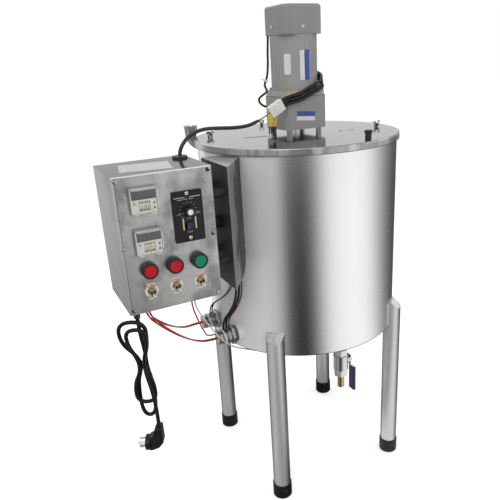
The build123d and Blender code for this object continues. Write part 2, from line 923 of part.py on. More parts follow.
# Gearbox: a deep tray, closed at the top by the motor's flange
with BuildPart() as gearbox:
    with BuildSketch(Plane.XY.offset(gearbox_bottom)):
        RectangleRounded(gearbox_side, gearbox_side, gearbox_corner)
    extrude(amount=gearbox_height)
    with BuildSketch(Plane.XY.offset(gearbox_bottom + gearbox_floor)):
        RectangleRounded(gearbox_side - 2 * gearbox_wall, gearbox_side - 2 * gearbox_wall, gearbox_wall)
    extrude(amount=gearbox_height, mode=Mode.SUBTRACT)
    with BuildSketch(Plane.XY.offset(gearbox_bottom)):
        Circle(output_shaft_diameter / 2 + running_fit)
    extrude(amount=gearbox_floor, mode=Mode.SUBTRACT)
    with BuildSketch(Plane.XY.offset(gearbox_bottom + gearbox_floor - countershaft_journal)):
        with Locations((gear_distance, 0)):
            Circle(countershaft_diameter / 2 + running_fit)
    extrude(amount=countershaft_journal, mode=Mode.SUBTRACT)
finish(gearbox, "gearbox")

# Motor housing: flange, ribbed frame and end bell round the stator bore
bell_side = fan_cover_side - 2 * fan_cover_wall - 2 * slip_fit
bell_corner = fan_cover_corner - fan_cover_wall - slip_fit
with BuildPart() as motor_housing:
    with BuildSketch(Plane.XY.offset(gearbox_top)):
        RectangleRounded(gearbox_side, gearbox_side, motor_flange_corner)
    extrude(amount=motor_flange_height)
    with BuildSketch(Plane.XY.offset(flange_plate_top)):
        Circle(motor_diameter / 2)
        with PolarLocations(motor_diameter / 2, motor_rib_count):
            Rectangle(2 * motor_rib_height, motor_rib_width)
    extrude(amount=motor_length - end_bell_height)
    with BuildSketch(Plane.XY.offset(motor_top - end_bell_height)):
        RectangleRounded(bell_side, bell_side, bell_corner)
    extrude(amount=end_bell_height)
    with BuildSketch(Plane.XY.offset(flange_plate_top)):
        Circle(stator_bore / 2)
    extrude(amount=motor_length - end_bell_height, mode=Mode.SUBTRACT)
    with BuildSketch(Plane.XY.offset(gearbox_top)):
        Circle(rotor_shaft_diameter / 2 + running_fit)
    extrude(amount=motor_flange_height + motor_length, mode=Mode.SUBTRACT)
    with BuildSketch(Plane.XY.offset(gearbox_top)):
        with Locations((gear_distance, 0)):
            Circle(countershaft_diameter / 2 + running_fit)
    extrude(amount=countershaft_journal, mode=Mode.SUBTRACT)
finish(motor_housing, "motor_housing")

# Fan cover: a rounded square cap with air slots in its top
with BuildPart() as fan_cover:
    with BuildSketch(Plane.XY.offset(fan_cover_bottom)):
        RectangleRounded(fan_cover_side, fan_cover_side, fan_cover_corner)
    extrude(amount=fan_cover_height)
    fillet(fan_cover.faces().sort_by(Axis.Z)[-1].edges(), fan_cover_crown)
    with BuildSketch(Plane.XY.offset(fan_cover_bottom)):
        RectangleRounded(
            fan_cover_side - 2 * fan_cover_wall,
            fan_cover_side - 2 * fan_cover_wall,
            fan_cover_corner - fan_cover_wall,
        )
    extrude(amount=fan_cover_height - fan_cover_wall, mode=Mode.SUBTRACT)
    with BuildSketch(Plane.XY.offset(fan_cover_top - fan_cover_wall)):
        with PolarLocations(fan_slot_inner + fan_slot_length / 2, fan_slot_count):
            SlotOverall(fan_slot_length, fan_slot_width)
    extrude(amount=fan_cover_wall, mode=Mode.SUBTRACT)
finish(fan_cover, "fan_cover")

# Motor rotor: pinion, shaft, core and cooling fan
fan_bottom = motor_top + fan_lift
rotor_core_bottom = flange_plate_top + (motor_length - end_bell_height - rotor_core_length) / 2
with BuildPart() as motor_rotor:
    with BuildSketch(Plane.XY.offset(first_gear_top - first_gear_width)):
        with BuildLine():
            Polyline(*gear_points(pinion_teeth, 0), close=True)
        make_face()
    extrude(amount=first_gear_width)
    with BuildSketch(Plane.XY.offset(first_gear_top)):
        Circle(rotor_shaft_diameter / 2)
    extrude(amount=fan_bottom + fan_height - first_gear_top)
    with BuildSketch(Plane.XY.offset(rotor_core_bottom)):
        Circle(stator_bore / 2 - air_gap)
    extrude(amount=rotor_core_length)
    with BuildSketch(Plane.XY.offset(fan_bottom)):
        Circle(fan_diameter / 2)
    extrude(amount=fan_blade_thickness)
    with BuildSketch(Plane.XY.offset(fan_bottom)):
        with PolarLocations(fan_diameter / 4, fan_blades):
            Rectangle(fan_diameter / 2, fan_blade_thickness)
    extrude(amount=fan_height)
finish(motor_rotor, "motor_rotor")

# Countershaft: wheel from the motor's pinion, pinion to the output wheel
half_step = 180 / wheel_teeth
with BuildPart() as countershaft:
    with BuildSketch(up_plane(gear_distance, 0, first_gear_top - first_gear_width)):
        with BuildLine():
            Polyline(*gear_points(wheel_teeth, half_step), close=True)
        make_face()
    extrude(amount=first_gear_width)
    with BuildSketch(up_plane(gear_distance, 0, second_gear_bottom)):
        with BuildLine():
            Polyline(*gear_points(pinion_teeth, 0), close=True)
        make_face()
    extrude(amount=second_gear_width)
    with BuildSketch(up_plane(gear_distance, 0, gearbox_bottom + gearbox_floor - countershaft_journal)):
        Circle(countershaft_diameter / 2)
    extrude(amount=gearbox_height - gearbox_floor + 2 * countershaft_journal)
finish(countershaft, "countershaft")

# Output shaft with its wheel
shaft_end = lid_bottom - output_shaft_below_lid
with BuildPart() as output_shaft:
    with BuildSketch(Plane.XY.offset(second_gear_bottom)):
        with BuildLine():
            Polyline(*gear_points(wheel_teeth, half_step), close=True)
        make_face()
    extrude(amount=second_gear_width)
    with BuildSketch(Plane.XY.offset(shaft_end)):
        Circle(output_shaft_diameter / 2)
    extrude(amount=second_gear_bottom - shaft_end)
finish(output_shaft, "output_shaft")

# Stirrer: coupling, shaft and anchor paddle
coupling_top = lid_bottom - coupling_gap
paddle_bottom = floor_edge + paddle_floor_gap
with BuildPart() as stirrer:
    with BuildSketch(Plane.XY.offset(paddle_bottom)):
        Circle(stirrer_shaft_diameter / 2)
    extrude(amount=shaft_end - paddle_bottom)
    with BuildSketch(Plane.XY.offset(shaft_end - coupling_diameter / 2)):
        Circle(coupling_diameter / 2)
    extrude(amount=coupling_top - shaft_end + coupling_diameter / 2)
    with BuildSketch(Plane.XY.offset(shaft_end)):
        Circle(output_shaft_diameter / 2 + running_fit)
    extrude(amount=coupling_top - shaft_end, mode=Mode.SUBTRACT)
    with BuildSketch(Plane.XZ):
        with Locations((0, paddle_bottom + paddle_foot_height / 2)):
            Rectangle(paddle_span, paddle_foot_height)
        with Locations((0, paddle_bottom + paddle_height / 2)):
            with GridLocations(paddle_span - paddle_arm_width, 0, 2, 1):
                Rectangle(paddle_arm_width, paddle_height)
        with Locations((0, paddle_bottom + paddle_bar_height)):
            Rectangle(paddle_span, paddle_arm_width)
    extrude(amount=paddle_thickness / 2, both=True)
finish(stirrer, "stirrer")

# Ball valve body: two hexagon ends, a round middle and a bonnet to the right
valve_top = valve_height + valve_end
valve_base = valve_height - valve_end
with BuildPart() as valve_body:
    with BuildSketch(up_plane(*valve_axis, valve_base)):
        RegularPolygon(valve_hex / 2, 6, major_radius=False)
    extrude(amount=valve_top - valve_base)
    with BuildSketch(up_plane(*valve_axis, valve_height - valve_body_length / 2)):
        Circle(valve_body_diameter / 2)
    extrude(amount=valve_body_length)
    with BuildSketch(Plane(origin=(0, -valve_front, valve_height), x_dir=(0, 1, 0), z_dir=(1, 0, 0))):
        Circle(bonnet_diameter / 2)
    extrude(amount=bonnet_reach)
    with BuildSketch(up_plane(*valve_axis, valve_base)):
        Circle(valve_bore / 2)
    extrude(amount=valve_top - valve_base, mode=Mode.SUBTRACT)
    with BuildSketch(up_plane(*valve_axis, valve_top - valve_thread)):
        Circle(outlet_radius + weld_gap)
    extrude(amount=valve_thread, mode=Mode.SUBTRACT)
    with BuildSketch(up_plane(*valve_axis, valve_base)):
        Circle(nipple_thread_diameter / 2 + weld_gap)
    extrude(amount=valve_thread, mode=Mode.SUBTRACT)
    with BuildSketch(Plane(origin=(0, -valve_front, valve_height), x_dir=(0, 1, 0), z_dir=(1, 0, 0))):
        Circle(stem_diameter / 2 + running_fit)
    extrude(amount=bonnet_reach, mode=Mode.SUBTRACT)
    with Locations((0, -valve_front, valve_height)):
        Sphere(ball_diameter / 2 + ball_gap, mode=Mode.SUBTRACT)
finish(valve_body, "valve_body")

# Ball with its stem and the nut that holds the lever
lever_inner = bonnet_reach + lever_clearance
lever_outer = lever_inner + lever_thickness
stem_plane = Plane(origin=(0, -valve_front, valve_height), x_dir=(0, 1, 0), z_dir=(1, 0, 0))
with BuildPart() as valve_ball:
    with Locations((0, -valve_front, valve_height)):
        Sphere(ball_diameter / 2)
    with BuildSketch(stem_plane):
        Circle(stem_diameter / 2)
    extrude(amount=lever_outer)
    with BuildSketch(stem_plane.offset(lever_outer)):
        RegularPolygon(stem_nut / 2, 6, major_radius=False)
    extrude(amount=stem_nut_height)
    with BuildSketch(up_plane(*valve_axis, valve_height - ball_diameter)):
        Circle(valve_bore / 2)
    extrude(amount=2 * ball_diameter, mode=Mode.SUBTRACT)
finish(valve_ball, "valve_ball")

# Lever: a strap that hangs from the stem, cranked outwards
lever_edge = Plane(origin=(0, -valve_front, valve_height), x_dir=(1, 0, 0), z_dir=(0, -1, 0))
with BuildPart() as valve_lever:
    with BuildSketch(lever_edge):
        with BuildLine():
            Polyline(
                (lever_inner, lever_hub),
                (lever_outer, lever_hub),
                (lever_outer, -lever_drop),
                (lever_outer + lever_crank, -lever_drop - lever_crank),
                (lever_outer + lever_crank, -lever_length),
                (lever_inner + lever_crank, -lever_length),
                (lever_inner + lever_crank, -lever_drop - lever_crank),
                (lever_inner, -lever_drop),
                close=True,
            )
        make_face()
    extrude(amount=lever_width / 2, both=True)
    with BuildSketch(stem_plane):
        Circle(stem_diameter / 2 + running_fit)
    extrude(amount=lever_outer, mode=Mode.SUBTRACT)
finish(valve_lever, "valve_lever")

# Vinyl grip over the lever's end
grip_top = valve_height - lever_length - grip_overrun + grip_length
grip_middle = lever_inner + lever_crank + lever_thickness / 2
with BuildPart() as lever_grip:
    with BuildSketch(up_plane(grip_middle, -valve_front, grip_top - grip_length)):
        RectangleRounded(grip_thickness, grip_width, grip_end_radius)
    extrude(amount=grip_length)
    fillet(lever_grip.faces().sort_by(Axis.Z)[0].edges(), grip_end_radius - weld_gap)
    with BuildSketch(up_plane(grip_middle, -valve_front, valve_height - lever_length)):
        Rectangle(lever_thickness, lever_width)
    extrude(amount=grip_length, mode=Mode.SUBTRACT)
finish(lever_grip, "lever_grip")

# Brass hose nipple
nipple_top = valve_base + valve_thread
nipple_end = valve_base - nipple_undercut - nipple_length
with BuildPart() as hose_nipple:
    with BuildSketch(up_plane(*valve_axis, nipple_end)):
        Circle(nipple_diameter / 2)
    extrude(amount=nipple_length)
    with BuildSketch(up_plane(*valve_axis, nipple_end)):
        Circle(nipple_thread_diameter / 2)
    extrude(amount=nipple_top - nipple_end)
    with BuildSketch(up_plane(*valve_axis, nipple_end)):
        Circle(nipple_bore / 2)
    extrude(amount=nipple_top - nipple_end, mode=Mode.SUBTRACT)
finish(hose_nipple, "hose_nipple")

# Temperature probes: one in the jacket water behind the duct, one in the vessel's floor
product_probe_top = floor_edge + product_probe_tip
product_gland_bottom = shell_bottom - probe_gland_length
jacket_probe_tip = tank_radius - jacket_probe_depth
with BuildPart() as temperature_probes:
    with BuildSketch(radial_plane(jacket_probe_angle, tank_radius + weld_gap, jacket_probe_height)):
        RegularPolygon(probe_gland_hex / 2, 6, major_radius=False)
    extrude(amount=probe_gland_length)
    with BuildSketch(radial_plane(jacket_probe_angle, jacket_probe_tip, jacket_probe_height)):
        Circle(probe_diameter / 2)
    extrude(amount=jacket_probe_depth + probe_gland_length)
    with BuildSketch(up_plane(product_probe_x, product_probe_y, product_gland_bottom)):
        RegularPolygon(probe_gland_hex / 2, 6, major_radius=False)
    extrude(amount=probe_gland_length)
    with BuildSketch(up_plane(product_probe_x, product_probe_y, product_gland_bottom)):
        Circle(probe_diameter / 2)
    extrude(amount=product_probe_top - product_gland_bottom)
finish(temperature_probes, "temperature_probes")

# Wire duct: a closed-top sheet channel from the tank wall to the studs that carry the box
conduit_y = box_front + conduit_column
conduit_z = box_bottom + conduit_row
near_foot = polar(tank_radius, duct_near_angle)
near_way = Vector(near_foot[0] - duct_outer, near_foot[1] - duct_near, 0)
near_inside = Vector(*near_foot) + near_way.normalized() * duct_overrun
far_foot = polar(tank_radius, duct_far_angle)
far_way = Vector(far_foot[0] - duct_outer, far_foot[1] - duct_far, 0)
far_inside = Vector(*far_foot) + far_way.normalized() * duct_overrun
duct_corners = [
    (duct_outer, duct_near),
    (duct_outer, duct_far),
    (far_inside.X, far_inside.Y),
    (near_inside.X, near_inside.Y),
]
near_face = Plane(
    origin=(near_foot[0], near_foot[1], duct_bottom),
    x_dir=near_way.normalized(),
    z_dir=near_way.normalized().cross(Vector(0, 0, 1)),
)
with BuildPart() as wire_duct:
    with BuildSketch(Plane.XY.offset(duct_bottom)):
        with BuildLine():
            Polyline(*duct_corners, close=True)
        make_face()
    extrude(amount=duct_height)
    with BuildSketch(Plane.XY.offset(duct_bottom)):
        with BuildLine():
            Polyline(*duct_corners, close=True)
        make_face()
        offset(amount=-duct_wall, kind=Kind.INTERSECTION)
    extrude(amount=duct_height - duct_wall, mode=Mode.SUBTRACT)
    with BuildSketch(near_face):
        with BuildLine():
            Line((-duct_corner_radius, 0), (duct_overrun, 0))
            Line((duct_overrun, 0), (duct_overrun, duct_corner_radius))
            Line((duct_overrun, duct_corner_radius), (0, duct_corner_radius))
            RadiusArc((0, duct_corner_radius), (-duct_corner_radius, 0), duct_corner_radius)
        make_face()
    extrude(amount=duct_corner_radius / 2, both=True, mode=Mode.SUBTRACT)
    with BuildSketch(Plane.XY.offset(duct_bottom)):
        Circle(tank_radius + weld_gap)
    extrude(amount=duct_height, mode=Mode.SUBTRACT)
    for column in box_stud_columns:
        for row in box_stud_rows:
            with BuildSketch(side_plane(duct_outer, box_front + column, box_bottom + row)):
                Circle(box_stud_diameter / 2)
            extrude(amount=box_stud_length)
    with BuildSketch(side_plane(duct_outer, conduit_y, conduit_z)):
        Circle(conduit_diameter / 2)
    extrude(amount=box_stud_length)
    with BuildSketch(side_plane(duct_outer + duct_wall, conduit_y, conduit_z)):
        Circle(conduit_bore / 2)
    extrude(amount=box_stud_length + duct_wall, mode=Mode.SUBTRACT)
finish(wire_duct, "wire_duct")

# Control box body: a sheet box with a lip round its open front
screw_rows = (panel_screw_inset, box_height / 2, box_height - panel_screw_inset)
screw_columns = (panel_screw_inset, box_width - panel_screw_inset)
with BuildPart() as control_box:
    with BuildSketch(panel_plane(box_width / 2, box_height / 2, -panel_thickness)):
        Rectangle(box_width, box_height)
    extrude(amount=panel_thickness - box_depth)
    with BuildSketch(panel_plane(box_width / 2, box_height / 2, -panel_thickness - box_wall)):
        Rectangle(box_width - 2 * box_wall, box_height - 2 * box_wall)
    extrude(amount=panel_thickness + 2 * box_wall - box_depth, mode=Mode.SUBTRACT)
    with BuildSketch(panel_plane(box_width / 2, box_height / 2, -panel_thickness)):
        Rectangle(box_width - 2 * box_lip, box_height - 2 * box_lip)
    extrude(amount=-box_wall, mode=Mode.SUBTRACT)
    for column in screw_columns:
        for row in screw_rows:
            with BuildSketch(panel_plane(column, row, -panel_thickness)):
                Circle(panel_screw_diameter / 2 + running_fit)
            extrude(amount=-box_wall, mode=Mode.SUBTRACT)
    with BuildSketch(Plane.XY.offset(box_bottom)):
        with Locations((gland_x, gland_y)):
            Circle(gland_neck / 2 + running_fit)
        with Locations((heater_wire_x, heater_wire_y), (probe_wire_x, probe_wire_y)):
            Circle(wire_hole / 2)
    extrude(amount=box_wall, mode=Mode.SUBTRACT)
    with BuildSketch(Plane.XY.offset(box_top - box_wall)):
        with Locations((grommet_x, grommet_y)):
            Circle(grommet_neck / 2 + running_fit)
    extrude(amount=box_wall, mode=Mode.SUBTRACT)
    with BuildSketch(side_plane(box_right, conduit_y, conduit_z)):
        Circle(conduit_bore / 2)
    extrude(amount=box_wall, mode=Mode.SUBTRACT)
finish(control_box, "control_box")

# Front panel with its cut-outs
with BuildPart() as front_panel:
    with BuildSketch(panel_plane(box_width / 2, box_height / 2)):
        Rectangle(box_width, box_height)
    extrude(amount=-panel_thickness)
    for row in controller_rows.values():
        with BuildSketch(panel_plane(controller_column, row)):
            Rectangle(controller_body + 2 * slip_fit, controller_body + 2 * slip_fit)
        extrude(amount=-panel_thickness, mode=Mode.SUBTRACT)
    with BuildSketch(panel_plane(speed_column, speed_row)):
        Rectangle(speed_body_width + 2 * slip_fit, speed_body_height + 2 * slip_fit)
    extrude(amount=-panel_thickness, mode=Mode.SUBTRACT)
    for column in lamp_columns:
        with BuildSketch(panel_plane(column, lamp_row)):
            Circle(lamp_barrel_diameter / 2 + slip_fit)
        extrude(amount=-panel_thickness, mode=Mode.SUBTRACT)
        with BuildSketch(panel_plane(column, toggle_row)):
            Circle(toggle_bush_diameter / 2 + slip_fit)
        extrude(amount=-panel_thickness, mode=Mode.SUBTRACT)
    for column in screw_columns:
        for row in screw_rows:
            with BuildSketch(panel_plane(column, row)):
                Circle(panel_screw_diameter / 2 + running_fit)
            extrude(amount=-panel_thickness, mode=Mode.SUBTRACT)
finish(front_panel, "front_panel")

# Panel screws
with BuildPart() as panel_screws:
    for column in screw_columns:
        for row in screw_rows:
            with BuildSketch(panel_plane(column, row)):
                Circle(panel_screw_head / 2)
            extrude(amount=panel_screw_head_height)
            with BuildSketch(panel_plane(column, row)):
                Circle(panel_screw_diameter / 2)
            extrude(amount=-panel_screw_length)
    rims = panel_screws.edges().filter_by(GeomType.CIRCLE).group_by(Axis.Y)[0]
    fillet(rims, panel_screw_head_height / 2)
finish(panel_screws, "panel_screws")

# Temperature controllers with a display window and a thumbwheel well
well_width = thumbwheel_pitch * thumbwheel_count + thumbwheel_gap
well_height = thumbwheel_diameter + 2 * thumbwheel_gap
well_depth = thumbwheel_recess + thumbwheel_diameter + thumbwheel_gap
wheel_depth = controller_bezel_height - thumbwheel_recess - thumbwheel_diameter / 2
for name, row in controller_rows.items():
    wheel_row = row - thumbwheel_drop
    axle_plane = Plane(
        origin=(box_left + controller_column, box_front - wheel_depth, box_bottom + wheel_row),
        x_dir=(0, 1, 0),
        z_dir=(1, 0, 0),
    )
    axle_length = well_width + 2 * thumbwheel_axle_end
    with BuildPart() as controller:
        with BuildSketch(panel_plane(controller_column, row)):
            RectangleRounded(controller_bezel, controller_bezel, speed_corner)
        extrude(amount=controller_bezel_height)
        with BuildSketch(panel_plane(controller_column, row)):
            Rectangle(controller_body, controller_body)
        extrude(amount=-controller_depth)
        window_row = row + controller_window_lift
        with BuildSketch(panel_plane(controller_column, window_row, controller_bezel_height)):
            Rectangle(controller_window_width, controller_window_height)
        extrude(amount=-controller_window_depth, mode=Mode.SUBTRACT)
        with BuildSketch(panel_plane(controller_column, wheel_row, controller_bezel_height)):
            Rectangle(well_width, well_height)
        extrude(amount=-well_depth, mode=Mode.SUBTRACT)
        with BuildSketch(axle_plane):
            Circle(thumbwheel_axle / 2 + running_fit)
        extrude(amount=axle_length / 2 + running_fit, both=True, mode=Mode.SUBTRACT)
    finish(controller, f"controller_{name}")
    with BuildPart() as thumbwheels:
        with BuildSketch(axle_plane):
            Circle(thumbwheel_axle / 2)
        extrude(amount=axle_length / 2, both=True)
        for wheel in range(thumbwheel_count):
            shift = (wheel - (thumbwheel_count - 1) / 2) * thumbwheel_pitch
            with BuildSketch(axle_plane.offset(shift)):
                Circle(thumbwheel_diameter / 2)
            extrude(amount=thumbwheel_width / 2, both=True)
    finish(thumbwheels, f"thumbwheels_{name}")

# Speed controller plate with its body, spindle hole and rocker well
rocker_row = speed_row - rocker_drop
knob_row = speed_row + speed_knob_lift
rocker_middle = (
    box_left + speed_column,
    box_front - speed_thickness + rocker_depth - rocker_reach,
    box_bottom + rocker_row,
)
rocker_well_depth = rocker_depth - rocker_reach + rocker_gap + rocker_axle
with BuildPart() as speed_plate:
    with BuildSketch(panel_plane(speed_column, speed_row)):
        RectangleRounded(speed_width, speed_height, speed_corner)
    extrude(amount=speed_thickness)
    with BuildSketch(panel_plane(speed_column, speed_row)):
        Rectangle(speed_body_width, speed_body_height)
    extrude(amount=-speed_body_depth)
    with BuildSketch(panel_plane(speed_column, knob_row, speed_thickness)):
        Circle(speed_spindle_diameter / 2 + running_fit)
    extrude(amount=-speed_spindle_length - running_fit, mode=Mode.SUBTRACT)
    with BuildSketch(panel_plane(speed_column, rocker_row, speed_thickness)):
        Rectangle(rocker_width + 2 * rocker_gap, rocker_height + 2 * rocker_side_gap)
    extrude(amount=-rocker_well_depth, mode=Mode.SUBTRACT)
    with BuildSketch(Plane(origin=rocker_middle, x_dir=(1, 0, 0), z_dir=(0, 0, 1))):
        Circle(rocker_axle / 2 + running_fit)
    extrude(
        amount=rocker_height / 2 + rocker_side_gap + rocker_axle_end + running_fit,
        both=True,
        mode=Mode.SUBTRACT,
    )
finish(speed_plate, "speed_plate")

# Speed knob on its spindle
with BuildPart() as speed_knob:
    with BuildSketch(panel_plane(speed_column, knob_row, speed_thickness + speed_knob_gap)):
        Circle(speed_knob_diameter / 2)
    extrude(amount=speed_knob_height, taper=speed_knob_taper)
    fillet(speed_knob.faces().sort_by(Axis.Y)[0].edges(), speed_knob_gap * 2)
    with BuildSketch(panel_plane(speed_column, knob_row, speed_thickness + speed_knob_gap)):
        Circle(speed_spindle_diameter / 2)
    extrude(amount=-speed_spindle_length)
finish(speed_knob, "speed_knob")

# Run and stop rocker, resting tilted on its axle
tilt = math.radians(rocker_tilt)
rocker_plane = Plane(
    origin=rocker_middle,
    x_dir=(math.cos(tilt), math.sin(tilt), 0),
    z_dir=(0, 0, 1),
)
with BuildPart() as run_rocker:
    with BuildSketch(rocker_plane):
        with BuildLine():
            Polyline(
                (-rocker_width / 2, -rocker_depth),
                (0, -rocker_depth + rocker_reach / 2),
                (rocker_width / 2, -rocker_depth),
                (rocker_width / 4, 0),
                (rocker_axle / 2, rocker_axle / 2),
                (-rocker_axle / 2, rocker_axle / 2),
                (-rocker_width / 4, 0),
                close=True,
            )
        make_face()
    extrude(amount=rocker_height / 2, both=True)
    with BuildSketch(rocker_plane):
        Circle(rocker_axle / 2)
    extrude(amount=rocker_height / 2 + rocker_side_gap + rocker_axle_end, both=True)
finish(run_rocker, "run_rocker")

# Pilot lamps: black bezels with barrels, and domed lenses
with BuildPart() as lamp_bezels:
    for column in lamp_columns:
        with BuildSketch(panel_plane(column, lamp_row)):
            Circle(lamp_bezel_diameter / 2)
        extrude(amount=lamp_bezel_height)
        with BuildSketch(panel_plane(column, lamp_row)):
            Circle(lamp_barrel_diameter / 2)
        extrude(amount=-lamp_barrel_length)
        with BuildSketch(panel_plane(column, lamp_row, lamp_floor)):
            Circle(lamp_lens_diameter / 2 + slip_fit)
        extrude(amount=lamp_bezel_height, mode=Mode.SUBTRACT)
finish(lamp_bezels, "lamp_bezels")

with BuildPart() as lamp_lenses:
    for column in lamp_columns:
        with BuildSketch(panel_plane(column, lamp_row, lamp_floor)):
            Circle(lamp_lens_diameter / 2)
        extrude(amount=lamp_lens_height)
    fillet(lamp_lenses.edges().filter_by(GeomType.CIRCLE).group_by(Axis.Y)[0], lamp_lens_fillet)
finish(lamp_lenses, "lamp_lenses")

# Toggle switches: bodies with threaded bushes and nuts, legend plates, levers on cross pins
def pin_plane(column):
    place = (box_left + column, box_front - toggle_pivot, box_bottom + toggle_row)
    return Plane(origin=place, x_dir=(0, 1, 0), z_dir=(1, 0, 0))


with BuildPart() as toggle_bodies:
    for column in lamp_columns:
        with BuildSketch(panel_plane(column, toggle_row, -panel_thickness)):
            Rectangle(toggle_body_width, toggle_body_height)
        extrude(amount=-toggle_body_depth)
        with BuildSketch(panel_plane(column, toggle_row, -panel_thickness)):
            Circle(toggle_bush_diameter / 2)
        extrude(amount=panel_thickness + toggle_bush_length)
        with BuildSketch(panel_plane(column, toggle_row, legend_thickness)):
            RegularPolygon(toggle_nut / 2, 6, major_radius=False)
        extrude(amount=toggle_nut_height)
        with BuildSketch(panel_plane(column, toggle_row, toggle_pivot - toggle_seat)):
            Circle(toggle_seat / 2)
        extrude(amount=toggle_seat, mode=Mode.SUBTRACT)
        with BuildSketch(panel_plane(column, toggle_row, toggle_pivot)):
            Circle(toggle_seat / 2)
        with BuildSketch(panel_plane(column, toggle_row, toggle_bush_length)):
            Circle(toggle_mouth / 2)
        loft(mode=Mode.SUBTRACT)
        with BuildSketch(pin_plane(column)):
            Circle(toggle_pin_diameter / 2 + running_fit)
        extrude(amount=toggle_pin_length / 2 + running_fit, both=True, mode=Mode.SUBTRACT)
finish(toggle_bodies, "toggle_bodies")

with BuildPart() as legend_plates:
    for column in lamp_columns:
        with BuildSketch(panel_plane(column, toggle_row)):
            Circle(legend_diameter / 2)
            Rectangle(legend_tab_width, legend_tab_height)
            Circle(toggle_bush_diameter / 2 + slip_fit, mode=Mode.SUBTRACT)
        extrude(amount=legend_thickness)
finish(legend_plates, "legend_plates")

for name, column in zip(("left", "middle", "right"), lamp_columns):
    lean = math.radians(toggle_tilt)
    pivot = pin_plane(column).origin
    lever_way = (0, -math.cos(lean), math.sin(lean))
    lever_plane = Plane(origin=pivot, x_dir=(1, 0, 0), z_dir=lever_way)
    with BuildPart() as toggle_lever:
        with Locations(pivot):
            Sphere(toggle_ball / 2)
        with BuildSketch(lever_plane):
            Circle(toggle_neck / 2)
        with BuildSketch(lever_plane.offset(toggle_length)):
            Circle(toggle_tip / 2)
        loft()
        fillet(toggle_lever.faces().sort_by(Axis.Y)[0].edges(), toggle_tip / 3)
        with BuildSketch(pin_plane(column)):
            Circle(toggle_pin_diameter / 2)
        extrude(amount=toggle_pin_length / 2, both=True)
    finish(toggle_lever, f"toggle_lever_{name}")

# Rubber grommet in the top of the box
with BuildPart() as cable_grommet:
    with BuildSketch(up_plane(grommet_x, grommet_y, box_top)):
        Circle(grommet_diameter / 2)
    extrude(amount=grommet_rise)
    fillet(cable_grommet.faces().sort_by(Axis.Z)[-1].edges(), grommet_rise / 2)
    with BuildSketch(up_plane(grommet_x, grommet_y, box_top - box_wall)):
        Circle(grommet_neck / 2)
    extrude(amount=box_wall)
    with BuildSketch(up_plane(grommet_x, grommet_y, box_top - box_wall)):
        Circle(grommet_diameter / 2)
    extrude(amount=-grommet_rise / 2)
    with BuildSketch(up_plane(grommet_x, grommet_y, box_top - grommet_rise)):
        Circle(motor_cable_diameter / 2 + cable_clearance)
    extrude(amount=3 * grommet_rise, mode=Mode.SUBTRACT)
finish(cable_grommet, "cable_grommet")

# Cord gland under the box
with BuildPart() as cord_gland:
    with BuildSketch(up_plane(gland_x, gland_y, box_bottom)):
        Circle(gland_flange / 2)
    extrude(amount=-gland_flange_height)
    with BuildSketch(up_plane(gland_x, gland_y, box_bottom)):
        Circle(gland_neck / 2)
    extrude(amount=box_wall + gland_flange_height)
    with BuildSketch(up_plane(gland_x, gland_y, box_bottom - gland_flange_height)):
        Circle(gland_nose / 2)
    extrude(amount=-gland_nose_length)
    with BuildSketch(up_plane(gland_x, gland_y, box_bottom - cord_exit)):
        Circle(cord_diameter / 2 + running_fit)
    extrude(amount=cord_exit + box_wall + gland_flange_height, mode=Mode.SUBTRACT)
finish(cord_gland, "cord_gland")

# Lead connector beside the gearbox
rise = math.radians(connector_rise)
connector_way = Vector(math.cos(rise), 0, math.sin(rise))
connector_side = Vector(math.sin(rise), 0, -math.cos(rise))
lead_front = -gearbox_half - lead_off
connector_start = Vector(-gearbox_half - connector_out, lead_front, gearbox_bottom + connector_lift)
connector_plane = Plane(origin=connector_start, x_dir=(0, 1, 0), z_dir=connector_way)
connector_end = connector_start + connector_way * connector_length
with BuildPart() as lead_connector:
    with BuildSketch(connector_plane):
        Rectangle(connector_height, connector_width)
    extrude(amount=connector_length)
    with BuildSketch(connector_plane.offset(connector_length / 3)):
        Rectangle(connector_height + connector_latch, connector_width / 2)
    extrude(amount=connector_length / 3)
finish(lead_connector, "lead_connector")

# Motor cable: slack inside the box, up through the grommet and across the lid to the connector
cable_before = connector_start - connector_way * cable_last_run
cable_points = [
    (grommet_x, grommet_y, box_top - cable_slack),
    (grommet_x, grommet_y, box_top + cable_rise),
]
for share, height in cable_arch:
    cable_x = grommet_x + (cable_before.X - grommet_x) * share
    cable_y = grommet_y + (cable_before.Y - grommet_y) * share
    cable_points.append((cable_x, cable_y, lid_top + height))
cable_points += [tuple(cable_before), tuple(connector_start)]
cable_tube = make_tube("motor_cable", cable_points, motor_cable_diameter)
with BuildPart() as motor_cable:
    add(cable_tube)
finish(motor_cable, "motor_cable")

# Motor leads: sleeves side by side across the front, an earth lead, a fan lead and a hanging spare lead
rib_circle = motor_diameter / 2 + motor_rib_height
lead_line = rib_circle + lead_diameter / 2 + cable_clearance


def round_motor(rows):
    return [polar(lead_line + off, angle, flange_plate_top + height) for angle, off, height in rows]


def before_gearbox(rows):
    return [(across, -gearbox_half - out, flange_plate_top + height) for across, out, height in rows]


def beside_gearbox(rows):
    return [(-gearbox_half - out, across, flange_plate_top + height) for across, out, height in rows]


